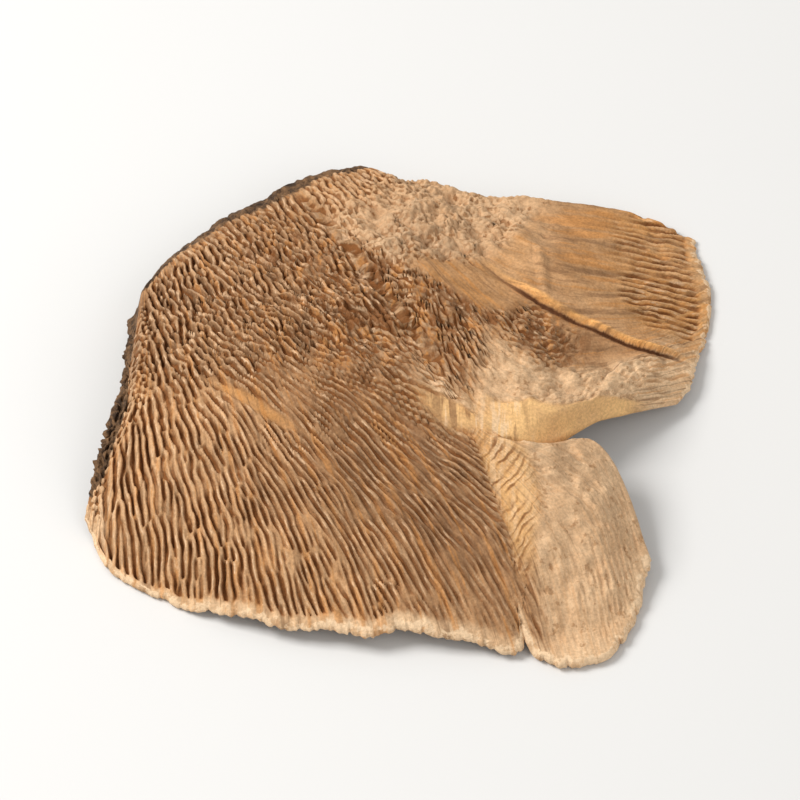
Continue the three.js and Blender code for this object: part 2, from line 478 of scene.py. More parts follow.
ROW_SPANS = (RowSpan(0.0, 0.45, 88), RowSpan(0.45, 0.6, 20), RowSpan(0.6, 1.0, 68))


@dataclass(frozen=True)
class Nick:
    """A notch in the margin: where across the lobe, half its width there, and its depth in mm."""

    across: float
    half_width: float
    depth: float


@dataclass(frozen=True)
class Bump:
    """A low bump or hollow: its plan place, half its size and its height in mm, its turn in degrees."""

    x: float
    y: float
    half_length: float
    half_width: float
    turn: float
    height: float

    def share(self, x: Array, y: Array) -> Array:
        """How much of the bump there is at each plan place: 1 in the middle, 0 outside.

        Args:
            x: Plan places, in millimetres.
            y: The same the other way.

        Returns:
            Shares, from 0 to 1.
        """
        turn = math.radians(self.turn)
        east, north = x - self.x, y - self.y
        ahead = (east * math.cos(turn) + north * math.sin(turn)) / self.half_length
        aside = (north * math.cos(turn) - east * math.sin(turn)) / self.half_width
        return 1.0 - smooth(0.45, 1.25, np.hypot(ahead, aside))


KNOB = Bump(6.9, 33.6, 4.8, 2.3, 9.0, 1.2)
TROUGH = Bump(-28.6, -12.2, 10.5, 1.4, -34.0, -1.2)
BUMPS = (
    KNOB,
    TROUGH,
    Bump(-2.0, 27.0, 3.2, 2.2, 60.0, 0.7),
    Bump(17.0, 30.0, 3.6, 2.4, -20.0, 0.8),
    Bump(24.0, 36.0, 3.0, 2.2, 20.0, 0.7),
    Bump(36.0, -31.0, 11.0, 1.8, 2.0, 0.7),
    Bump(27.0, 2.5, 4.4, 2.6, -8.0, 0.7),
    Bump(36.0, 1.5, 3.4, 2.4, 10.0, 0.6),
    Bump(28.6, 26.0, 7.5, 1.1, 96.0, 0.8),
)


@dataclass(frozen=True)
class Pocket:
    """A small break in the surface: its middle across and along the lobe, and half its size."""

    across: float
    along: float
    half_width: float
    half_length: float


@dataclass
class Sheet:
    """What is known at each grid point, as arrays of columns by rows.

    Attributes:
        x: Plan place, in millimetres.
        y: Plan place, in millimetres.
        across: Fractional path number.
        along: Share of the path's length.
        reach: Share of the way to the margin, which a notch makes shorter.
        span: Distance from the lobe's first column along the row, in millimetres.
        cap: Height of the cap side, in millimetres.
        flesh: Thickness over it, in millimetres.
        lift: Height of the steps and folds on top of the flesh, in millimetres.
        zones: Weight of each zone, in the order of Zone, on a third axis.
        tint: Shares of pale, warm, brown and scar, on a third axis.
        feel: Shares of smooth rim band, rough crust and tangle, on a third axis.
        fold: Distance past a sharp fold in millimetres, below zero before it, and the fold's
            share, then the same for a second one, on a third axis.
    """

    x: Array
    y: Array
    across: Array
    along: Array
    reach: Array
    span: Array
    cap: Array
    flesh: Array
    lift: Array
    zones: Array
    tint: Array
    feel: Array
    fold: Array


@dataclass
class Lobe:
    """One lobe of the bracket, worked out over its gill paths.

    Attributes:
        paths: The gill paths, in order round the foot.
        columns: How many columns of faces the lobe has.
        spans: The runs of rows from foot to margin.
        nicks: Notches in the margin.
        broken: Pockets where broken gills show on edge.
        seed: Seed of the margin's random wave.
        stations: The stations along the gill paths.
        notch: Share of the path's length where the notch between the lobes starts.
        path_length: Usual length of a gill path, in millimetres.
        arch_shape: Power that draws the arch's top towards the foot, below 1.
        foot_drop: How far the foot reaches down below the arch, in millimetres.
        foot_reach: How far the foot reaches along the paths.
        side_edge_share: Share of the flesh that is left at the free side.
        notch_edge_share: Share of the flesh that is left along the notch.
        least_flesh: Thinnest flesh, in millimetres.
        margin_wave: How far the margin wanders, in millimetres.
        wave_columns: How many columns wide the margin's slow and quick waves are.
        wave_spread: How strong both are.
        inset_start: Share of the path's length from which the grid follows the margin.
        pale_margin: Where the margin's pale tint starts and is full.
    """

    paths: tuple[GillPath, ...]
    columns: int
    spans: tuple[RowSpan, ...] = ROW_SPANS
    nicks: tuple[Nick, ...] = ()
    broken: tuple[Pocket, ...] = ()
    seed: int = 31
    stations: Stations = field(default_factory=Stations)
    notch: float = 0.6
    path_length: float = 95.0
    arch_shape: float = 0.8
    foot_drop: float = 12.0
    foot_reach: float = 0.11
    side_edge_share: float = 0.4
    notch_edge_share: float = 0.55
    least_flesh: float = 0.9
    margin_wave: float = 0.4
    wave_columns: tuple[int, int] = (60, 9)
    wave_spread: float = 0.3
    inset_start: float = 0.82
    pale_margin: tuple[float, float] = (0.965, 0.99)

    @property
    def last(self) -> int:
        """Number of the last path."""
        return len(self.paths) - 1

    @property
    def knots(self) -> Array:
        """The paths' plan points, paths by stations by two."""
        return np.array([path.plan for path in self.paths], float)

    def row_shares(self) -> Array:
        """Share of the path's length at each row; rows are closest together among the teeth."""
        parts = [np.linspace(span.start, span.end, span.rows + 1)[1:] for span in self.spans]
        return np.concatenate([[0.0], *parts])

    def even_places(self, along: Array, samples: int = 300) -> Array:
        """Splits every row into columns of equal width.

        The row's curve is walked in small steps, and the path numbers are read off at equal
        shares of its length.

        Args:
            along: Share of the path's length at each row.
            samples: How many steps walk a row.

        Returns:
            Fractional path numbers, rows by columns + 1.
        """
        places = np.broadcast_to(self.stations.place(along), (len(self.paths), len(along)))
        lines = spline_rows(self.knots, places).transpose(1, 0, 2)
        steps = np.linspace(0.0, self.last, samples + 1)
        curve = spline_rows(lines, np.broadcast_to(steps, (len(lines), samples + 1)))
        pace = np.hypot(*np.moveaxis(np.diff(curve, axis=1), 2, 0))
        walked = np.concatenate([np.zeros((len(lines), 1)), np.cumsum(pace, axis=1)], axis=1)
        shares = np.linspace(0.0, 1.0, self.columns + 1)
        return np.array([np.interp(shares * row[-1], row, steps) for row in walked])

    def margin_inset(self) -> Array:
        """How far the margin is set back at each column, in millimetres.

        A fine wave as wide as a gill rides on a slower one, and each nick takes a
        bell-shaped bite.

        Returns:
            One set-back to a column.
        """
        across = self.even_places(np.array([1.0]))[0]
        draw = np.random.default_rng(self.seed)
        slow, quick = (
            np.convolve(draw.standard_normal(len(across)), np.hanning(width), "same") * self.wave_spread
            for width in self.wave_columns
        )
        inset = self.margin_wave * (1.0 + slow + quick)
        for nick in self.nicks:
            inset += nick.depth * np.exp(-(((across - nick.across) / nick.half_width) ** 2))
        return inset

    def sheet(self) -> Sheet:
        """Works out the lobe's grid, its heights and its zones.

        Returns:
            The grid.
        """
        rows = self.row_shares()
        across = self.even_places(rows).T
        reach = smooth(self.inset_start, 1.0, rows)
        along = rows[None, :] - self.margin_inset()[:, None] / self.path_length * reach[None, :]
        places = self.stations.place(along.ravel())
        lines = spline_rows(self.knots, np.broadcast_to(places, (len(self.paths), places.size)))
        points = spline_rows(lines.transpose(1, 0, 2), across.reshape(-1, 1))[:, 0]
        x, y = (values.reshape(across.shape) for values in points.T)
        heights = np.array([[path.crown, path.tip] for path in self.paths])[None]
        curves = spline_rows(heights, across.reshape(1, -1))[0]
        crown, tip = (values.reshape(across.shape) for values in curves.T)
        pace = np.hypot(np.diff(x, axis=0), np.diff(y, axis=0))
        span = np.concatenate([np.zeros((1, len(rows))), np.cumsum(pace, axis=0)])
        arch = np.maximum(0.0, crown * np.sin(math.pi * along**self.arch_shape) + tip * along**3)
        foot = self.foot_drop * np.exp(-((along / self.foot_reach) ** 2))
        cap = np.maximum(0.0, arch - foot * self.edge_share(across, np.zeros_like(along)))
        full = self.stations.flesh_at(along) * self.edge_share(across, along)
        flesh = arch + np.maximum(self.least_flesh, full) - cap
        lift = self.lift(across, along)
        zones = np.stack([self.zone(zone, across, along) for zone in Zone], axis=-1)
        tint = self.tint(across, along, span)
        tint[..., 0] = np.maximum(tint[..., 0], 0.8 * smooth(*self.pale_margin, rows))
        feel = self.feel(across, along)
        fold = self.crease(across, along)
        reach = np.broadcast_to(rows, x.shape)
        return Sheet(x, y, across, along, reach, span, cap, flesh, lift, zones, tint, feel, fold)

    def edge_share(self, across: Array, along: Array) -> Array:
        """How much of the flesh is left towards the free side and along the notch."""
        past = smooth(self.notch, self.notch + 0.1, along)
        free = mix(self.side_edge_share, 1.0, self.from_free_side(across))
        return free * mix(1.0, mix(self.notch_edge_share, 1.0, self.from_notch(across)), past)

    def from_free_side(self, across: Array) -> Array:
        """0 on the lobe's free side, 1 well inside it."""
        raise NotImplementedError

    def from_notch(self, across: Array) -> Array:
        """0 on the lobe's side by the notch, 1 well inside it."""
        raise NotImplementedError

    def lift(self, across: Array, along: Array) -> Array:
        """Steps and folds on the gilled side, in millimetres."""
        raise NotImplementedError

    def crease(self, across: Array, along: Array) -> Array:
        """Distances past up to two sharp folds, each with its share; a plain lobe has none."""
        return np.zeros((*across.shape, 4))

    def zone(self, zone: Zone, across: Array, along: Array) -> Array:
        """Weight of one zone."""
        raise NotImplementedError

    def pockets(self, across: Array, along: Array) -> Array:
        """Share of the small pockets where broken gills show on edge.

        Args:
            across: Path numbers.
            along: Shares of the path's length.

        Returns:
            Shares, from 0 to 1.
        """
        total = np.zeros_like(across)
        for pocket in self.broken:
            off = ((across - pocket.across) / pocket.half_width) ** 2
            off += ((along - pocket.along) / pocket.half_length) ** 2
            total = np.maximum(total, 1.0 - smooth(0.5, 1.3, off))
        return total

    def tint(self, across: Array, along: Array, span: Array) -> Array:
        """Shares of pale, warm, brown and scar, stacked on a third axis."""
        raise NotImplementedError

    def feel(self, across: Array, along: Array) -> Array:
        """Shares of smooth rim band, rough crust and tangle, stacked on a third axis."""
        raise NotImplementedError


@dataclass
class MainLobe(Lobe):
    """The broad lobe: long gills, and a pale lobe of young flesh raised on its right.

    Attributes:
        lobe_lift: How far the pale lobe stands over the field near the notch, in millimetres.
        bowl_depth: Depth of the hollow in the pale lobe, in millimetres.
    """

    paths: tuple[GillPath, ...] = MAIN_PATHS
    columns: int = 500
    nicks: tuple[Nick, ...] = (
        Nick(0.75, 0.05, 0.9),
        Nick(1.0, 0.5, 1.1),
        Nick(1.45, 0.05, 1.7),
        Nick(1.85, 0.035, 1.2),
        Nick(3.45, 0.42, 2.2),
        Nick(4.13, 0.055, 5.5),
        Nick(5.9, 0.06, 0.8),
    )
    lobe_lift: float = 3.5
    bowl_depth: float = 0.8
    broken: tuple[Pocket, ...] = (Pocket(2.72, 0.57, 0.13, 0.035),)

    def from_free_side(self, across: Array) -> Array:
        """0 on the torn left side, 1 well inside it."""
        return smooth(0.0, 0.7, across)

    def from_notch(self, across: Array) -> Array:
        """0 on the side by the notch, 1 well inside it."""
        return smooth(0.0, 0.5, self.last - across)

    def foot_line(self, along: Array) -> Array:
        """Where across the lobe the pale lobe starts: it leaves the notch and bends out."""
        return 4.05 + 1.9 * np.exp(-np.maximum(0.0, along - self.notch) / 0.13)

    def wall_width(self, along: Array) -> Array:
        """How wide the bank beside the pale lobe is, as a share of a path: wide near the notch."""
        return mix(1.1, 0.35, smooth(0.66, 0.84, along))

    def ledge(self, across: Array, along: Array) -> Array:
        """Share of the smooth ledge over the notch, where the side lobe's rim band starts."""
        return smooth(4.4, 5.6, across) * band(0.535, 0.61, 0.025, along)

    def cream(self, across: Array, along: Array) -> Array:
        """Share of the broken pale crust over the ledge."""
        here = smooth(5.0, 6.4, across) * band(0.47, 0.56, 0.03, along)
        return here * (1.0 - self.ledge(across, along))

    def lift(self, across: Array, along: Array) -> Array:
        """The pale lobe's step: steep and tall near the notch, low at the margin.

        Args:
            across: Path numbers.
            along: Shares of the path's length.

        Returns:
            Heights, in millimetres.
        """
        past = np.maximum(0.0, along - self.notch)
        crease = self.foot_line(along)
        rise = (across - crease) / self.wall_width(along)
        height = self.lobe_lift * mix(1.0, 0.25, np.clip(past / 0.35, 0.0, 1.0))
        corner = mix(0.05, 1.0, smooth(0.0, 1.2, self.last - across + 6.0 * past))
        step = height * corner * smooth(-0.15, 0.85, rise) * smooth(0.0, 0.05, past)
        bowl = band(crease + 0.75, crease + 1.7, 0.35, across) * band(0.68, 0.86, 0.08, along)
        return step - self.bowl_depth * bowl

    def pale_lobe(self, across: Array, along: Array) -> Array:
        """Share of the pale lobe."""
        crease = self.foot_line(along)
        past = smooth(self.notch - 0.01, self.notch + 0.03, along)
        return smooth(crease + 0.1, crease + 0.5, across) * past

    def wall(self, across: Array, along: Array) -> Array:
        """Share of the steep wall beside the pale lobe.

        Args:
            across: Path numbers.
            along: Shares of the path's length.

        Returns:
            Shares, from 0 to 1.
        """
        rise = (across - self.foot_line(along)) / self.wall_width(along)
        past = smooth(self.notch - 0.01, self.notch + 0.03, along)
        bank = smooth(-0.2, 0.1, rise) * smooth(1.2, 0.8, rise)
        return bank * past * (1.0 - smooth(0.78, 0.88, along))

    def zone(self, zone: Zone, across: Array, along: Array) -> Array:
        """Weight of one zone of the broad lobe.

        Args:
            zone: The zone.
            across: Path numbers.
            along: Shares of the path's length.

        Returns:
            Weights, from 0 to 1.
        """
        pale, wall = self.pale_lobe(across, along), self.wall(across, along)
        match zone:
            case Zone.LONG | Zone.CENTRE:
                gilled = smooth(0.36, 0.5, along) * (1.0 - self.pored(across, along)) * (1.0 - pale)
                gilled *= (1.0 - self.ledge(across, along)) * (1.0 - wall)
                gilled *= mix(1.0, 0.65, smooth(2.9, 3.8, across) * smooth(0.7, 0.85, along))
                left = 1.0 - smooth(1.9, 3.3, across + 1.2 * (1.0 - along))
                return gilled * (left if zone is Zone.LONG else 1.0 - left)
            case Zone.TEETH:
                return band(0.03, 0.43, 0.06, along) * (1.0 - self.pored(across, along))
            case Zone.MAZE:
                tangle = band(0.12, 0.5, 0.08, along) * smooth(3.0, 4.8, across)
                return tangle * (1.0 - self.cream(across, along))
            case Zone.FINE:
                return 0.55 * pale * smooth(0.76, 0.9, along) * (1.0 - wall)
            case Zone.WALL:
                return wall
            case Zone.CELL:
                return 0.5 * pale * (1.0 - 0.75 * smooth(0.72, 0.86, along)) * (1.0 - wall)
            case Zone.PORE:
                return band(0.1, 0.93, 0.06, along) * self.pored(across, along)
            case Zone.POCKET:
                return self.pockets(across, along)
            case _:
                return np.zeros_like(across)

    def pored(self, across: Array, along: Array) -> Array:
        """Share of the pores: a strip by the left side that is wide as far as the middle."""
        edge = mix(1.2, 0.5, smooth(0.4, 0.75, along))
        return 1.0 - smooth(edge - 0.4, edge, across)

    def tint(self, across: Array, along: Array, span: Array) -> Array:
        """Pale margin and pale lobe, warm wall, brown middle, scarred left side and foot.

        Args:
            across: Path numbers.
            along: Shares of the path's length.
            span: Distances from the lobe's first column, in millimetres.

        Returns:
            Shares of pale, warm, brown and scar, on a third axis.
        """
        lobe = self.pale_lobe(across, along)
        wall = self.wall(across, along)
        corner = 0.7 * (1.0 - smooth(0.3, 1.1, across)) * smooth(0.7, 0.9, along)
        pale = np.maximum(0.72 * lobe * (1.0 - 0.5 * wall), corner + 0.9 * self.cream(across, along))
        warm = wall * (1.0 - 0.6 * smooth(0.5, 1.0, lobe))
        middle = 1.15 * band(0.2, 0.78, 0.12, along) * smooth(1.8, 4.2, across)
        teeth = band(0.05, 0.42, 0.08, along) * (1.0 - smooth(2.5, 4.0, across))
        brown = np.clip(middle + 0.7 * smooth(2.4, 4.2, across) + 1.3 * teeth, 0.0, 1.0) * (1.0 - lobe)
        width = mix(0.9, 3.4, band(0.44, 0.8, 0.06, along))
        bark = (1.0 - smooth(0.5, 1.3, span / width)) * (1.0 - smooth(0.84, 0.9, along))
        scar = np.maximum(bark, 0.8 * (1.0 - smooth(0.01, 0.05, along)))
        return np.stack([pale, warm, brown, scar], axis=-1)

    def feel(self, across: Array, along: Array) -> Array:
        """The wall is as clear as a rim band, the pale lobe rough, and the middle a tangle.

        The wall takes half the rim band's share, and so its brighter colour, which is partly
        painted light.

        Args:
            across: Path numbers.
            along: Shares of the path's length.

        Returns:
            Shares of rim band, crust and tangle, on a third axis.
        """
        wall = self.wall(across, along)
        rough = self.pale_lobe(across, along) * (1.0 - wall)
        tangle = band(0.1, 0.52, 0.1, along) * smooth(2.4, 4.4, across)
        cream = self.cream(across, along)
        # The wall takes half the rim band's share, and so its colour, which is partly painted light
        rim = np.maximum(0.5 * wall, self.ledge(across, along))
        return np.stack([rim, np.maximum(0.7 * rough, 0.8 * cream), tangle * (1.0 - cream)], axis=-1)


@dataclass
class SideLobe(Lobe):
    """The narrower lobe at the back right: crust, a fold, a smooth rim band and fine gills.

    Attributes:
        path_gap: Distance between two paths on the notch side, in millimetres.
        far_gap: The same on the far side.
        fold_lift: How far the surface beyond the fold stands proud, in millimetres.
        rim_swell: Height of the swelling along the rim band's edge, in millimetres.
        bump: Middle and half the size of the low round bump by the margin.
        bump_size: Its radius, in millimetres.
        bump_height: Its height, in millimetres.
    """

    paths: tuple[GillPath, ...] = SIDE_PATHS
    columns: int = 156
    nicks: tuple[Nick, ...] = (Nick(0.0, 0.14, 1.6), Nick(1.12, 0.04, 0.8), Nick(1.4, 0.05, 1.1))
    seed: int = 32
    path_gap: float = 13.0
    far_gap: float = 26.0
    fold_lift: float = 1.8
    rim_swell: float = 0.8
    bump: Pocket = Pocket(1.02, 0.84, 0.36, 0.07)
    bump_size: float = 5.0
    bump_height: float = 0.8
    broken: tuple[Pocket, ...] = (
        Pocket(0.93, 0.47, 0.22, 0.034),
        Pocket(1.75, 0.52, 0.15, 0.026),
    )

    def from_free_side(self, across: Array) -> Array:
        """0 on the far side, 1 well inside it."""
        return smooth(0.0, 0.55, self.last - across)

    def from_notch(self, across: Array) -> Array:
        """0 on the side by the notch, 1 well inside it."""
        return smooth(0.0, 0.5, across)

    def fold(self, along: Array) -> Array:
        """Where across the lobe the fold runs: level first, then nearing the notch side."""
        ahead = along - 0.53
        return 2.2 - 0.4 * ahead - 8.4 * np.maximum(0.0, ahead) ** 2.5

    def past_fold(self, across: Array, along: Array) -> Array:
        """Distance past the fold in millimetres; the gill paths spread towards the far side."""
        gap = mix(self.path_gap, self.far_gap, smooth(1.2, 2.1, across))
        return (across - self.fold(along)) * gap

    def swath(self, across: Array, along: Array) -> Array:
        """Share of the smooth swath that leads up to the fold, between the crust and the tangle."""
        off = (across - 1.7 - 5.0 * (along - 0.41)) / 0.36
        return (1.0 - smooth(0.6, 1.25, np.abs(off))) * band(0.31, 0.57, 0.05, along)

    def crust(self, across: Array, along: Array) -> Array:
        """Share of the rough crust: the foot's far side, as far as the fold starts."""
        here = smooth(-0.2, 0.3, across - 0.9 - 6.0 * (along - 0.33)) * band(0.1, 0.6, 0.07, along)
        return here * (1.0 - self.swath(across, along))

    def grooved(self, across: Array, along: Array) -> Array:
        """Share of the grooves that fan out to the margin beyond the fold."""
        past = across - self.fold(along)
        return smooth(0.68, 0.82, along) * smooth(0.2, 0.45, past) * smooth(3.5, 3.2, across)

    def folded(self, along: Array) -> Array:
        """Share of the fold: it starts by the tangle and fades out before the margin."""
        return band(0.5, 0.95, 0.06, along)

    def cream(self, across: Array, along: Array) -> Array:
        """Share of the broken pale crust between the rim band and the tangle."""
        here = band(0.5, 0.88, 0.04, along) * (1.0 - smooth(1.2, 1.65, across))
        return here * (1.0 - self.rim(across, along))

    def rim(self, across: Array, along: Array) -> Array:
        """Share of the smooth band beside the notch, which narrows towards the margin."""
        edge = self.rim_edge(along)
        return (1.0 - smooth(edge - 0.12, edge + 0.03, across)) * band(0.53, 0.88, 0.05, along)

    def rim_edge(self, along: Array) -> Array:
        """Where across the lobe the rim band ends: it is widest at 0.62 of the length."""
        return 0.78 - 2.2 * np.maximum(0.0, along - 0.62) - 5.0 * np.maximum(0.0, 0.62 - along)

    def crease(self, across: Array, along: Array) -> Array:
        """Distance past the fold and the fold's share, and then the same of the low bump's edge.

        Args:
            across: Path numbers.
            along: Shares of the path's length.

        Returns:
            The four numbers, on a third axis.
        """
        past = self.past_fold(across, along)
        turn = (across - self.bump.across) / self.bump.half_width
        ahead = (along - self.bump.along) / self.bump.half_length
        round_bump = (np.hypot(turn, ahead) - 1.0) * -self.bump_size
        share = smooth(-0.2, 0.5, turn) * smooth(1.4, 1.0, np.abs(ahead))
        return np.stack([past, self.folded(along), round_bump, share], axis=-1)

    def lift(self, across: Array, along: Array) -> Array:
        """The fold: the surface beyond it stands proud, and its lip a little higher.

        Args:
            across: Path numbers.
            along: Shares of the path's length.

        Returns:
            Heights, in millimetres.
        """
        past = self.past_fold(across, along)
        step = smooth(-0.3, 0.35, past) * mix(0.86, 1.0, np.exp(-((past / 2.2) ** 2)))
        gutter = 0.5 * np.exp(-(((past + 0.7) / 0.6) ** 2))
        off = (across - self.rim_edge(along) + 0.12) / 0.18
        swell = self.rim_swell * np.exp(-(off**2)) * band(0.58, 0.84, 0.08, along)
        hump = self.bump_height * smooth(-0.6, 0.8, self.crease(across, along)[..., 2])
        return (self.fold_lift * step - gutter) * self.folded(along) + swell + hump

    def zone(self, zone: Zone, across: Array, along: Array) -> Array:
        """Weight of one zone of the side lobe.

        Args:
            zone: The zone.
            across: Path numbers.
            along: Shares of the path's length.

        Returns:
            Weights, from 0 to 1.
        """
        clear, past = 1.0 - self.rim(across, along), across - self.fold(along)
        crust, cream = self.crust(across, along), self.cream(across, along)
        swath = self.swath(across, along)
        match zone:
            case Zone.GROOVES:
                return self.grooved(across, along)
            case Zone.TEETH:
                return band(0.03, 0.4, 0.06, along) * (1.0 - crust) * (1.0 - swath)
            case Zone.MAZE:
                tangle = band(0.1, 0.66, 0.08, along) * (1.0 - smooth(-0.15, 0.1, past)) * clear
                return tangle * (1.0 - crust) * (1.0 - cream) * (1.0 - swath)
            case Zone.POCKET:
                return self.pockets(across, along)
            case Zone.FINE:
                smoothed = mix(0.15, 0.8, smooth(0.78, 0.92, along)) * smooth(0.5, 0.62, along)
                return smoothed * clear * (1.0 - self.grooved(across, along))
            case Zone.CELL:
                return np.maximum(crust, 0.7 * cream) * clear
            case _:
                return np.zeros_like(across)

    def tint(self, across: Array, along: Array, span: Array) -> Array:
        """Pale crust near the foot, warm fold and rim band, brown middle, scarred foot.

        The end before the fold is pale flesh painted paler still, as painted light; the surface
        beyond the fold is darkened as painted shade, which the brown share carries.

        Args:
            across: Path numbers.
            along: Shares of the path's length.
            span: Distances from the lobe's first column, in millimetres.

        Returns:
            Shares of pale, warm, brown and scar, on a third axis.
        """
        rim = self.rim(across, along)
        past = across - self.fold(along)
        crust = self.crust(across, along)
        cream, swath = self.cream(across, along), self.swath(across, along)
        # The end before the fold: pale flesh, painted paler still as painted light
        end = smooth(0.84, 0.93, along) * (1.0 - smooth(0.1, 0.5, past))
        pale = np.clip(np.maximum(0.5 * crust, 0.7 * rim) + 0.9 * cream + end, 0.0, 1.0)
        beyond = 0.35 * smooth(0.55, 0.7, along) * smooth(0.0, 0.2, past)
        warm = np.clip(0.8 * rim + 0.6 * self.grooved(across, along) + beyond + 0.45 * swath, 0.0, 1.0)
        brown = band(0.2, 0.7, 0.1, along) * (1.0 - smooth(-0.2, 0.2, past)) * (1.0 - rim)
        brown *= (1.0 - cream) * (1.0 - 0.4 * swath)
        # Painted shade over the surface beyond the fold, carried in the brown share
        shaded = band(0.62, 0.8, 0.13, along) * smooth(0.1, 0.45, past) * (1.0 - crust)
        brown = np.maximum(brown, 0.65 * shaded)
        scar = 0.8 * (1.0 - smooth(0.01, 0.05, along))
        return np.stack([pale, warm, brown, scar], axis=-1)

    def feel(self, across: Array, along: Array) -> Array:
        """A smooth rim band, rough crust along the far side, and a tangle before the fold.

        Args:
            across: Path numbers.
            along: Shares of the path's length.

        Returns:
            Shares of rim band, crust and tangle, on a third axis.
        """
        past = across - self.fold(along)
        rim = self.rim(across, along)
        crust, cream = self.crust(across, along), self.cream(across, along)
        tangle = band(0.1, 0.7, 0.08, along) * (1.0 - smooth(-0.2, 0.1, past)) * (1.0 - crust)
        tangle *= (1.0 - cream) * (1.0 - self.swath(across, along))
        rough = np.maximum(crust, 0.8 * cream)
        return np.stack([rim, rough, tangle * (1.0 - rim)], axis=-1)


@dataclass
class Skin:
    """The closed skin, ready to become a mesh.

    Attributes:
        points: Vertices, in millimetres.
        polygons: Faces, one array to each number of corners.
        wave: The gill wave's two parts, the valleys' full depth in millimetres, and the wall's share.
        tint: Shares of pale, warm, brown and scar.
        feel: Shares of rim band, crust and tangle, and the broad folds from 0 to 1.
        fold: Distances past the sharp folds, in millimetres, and the folds' shares.
        cap: 0 on the gilled side, 1 on the cap side.
        paths: Distances across and along the gill paths, in millimetres.
    """

    points: Array
    polygons: list[Array]
    wave: Array
    tint: Array
    feel: Array
    fold: Array
    cap: Array
    paths: Array


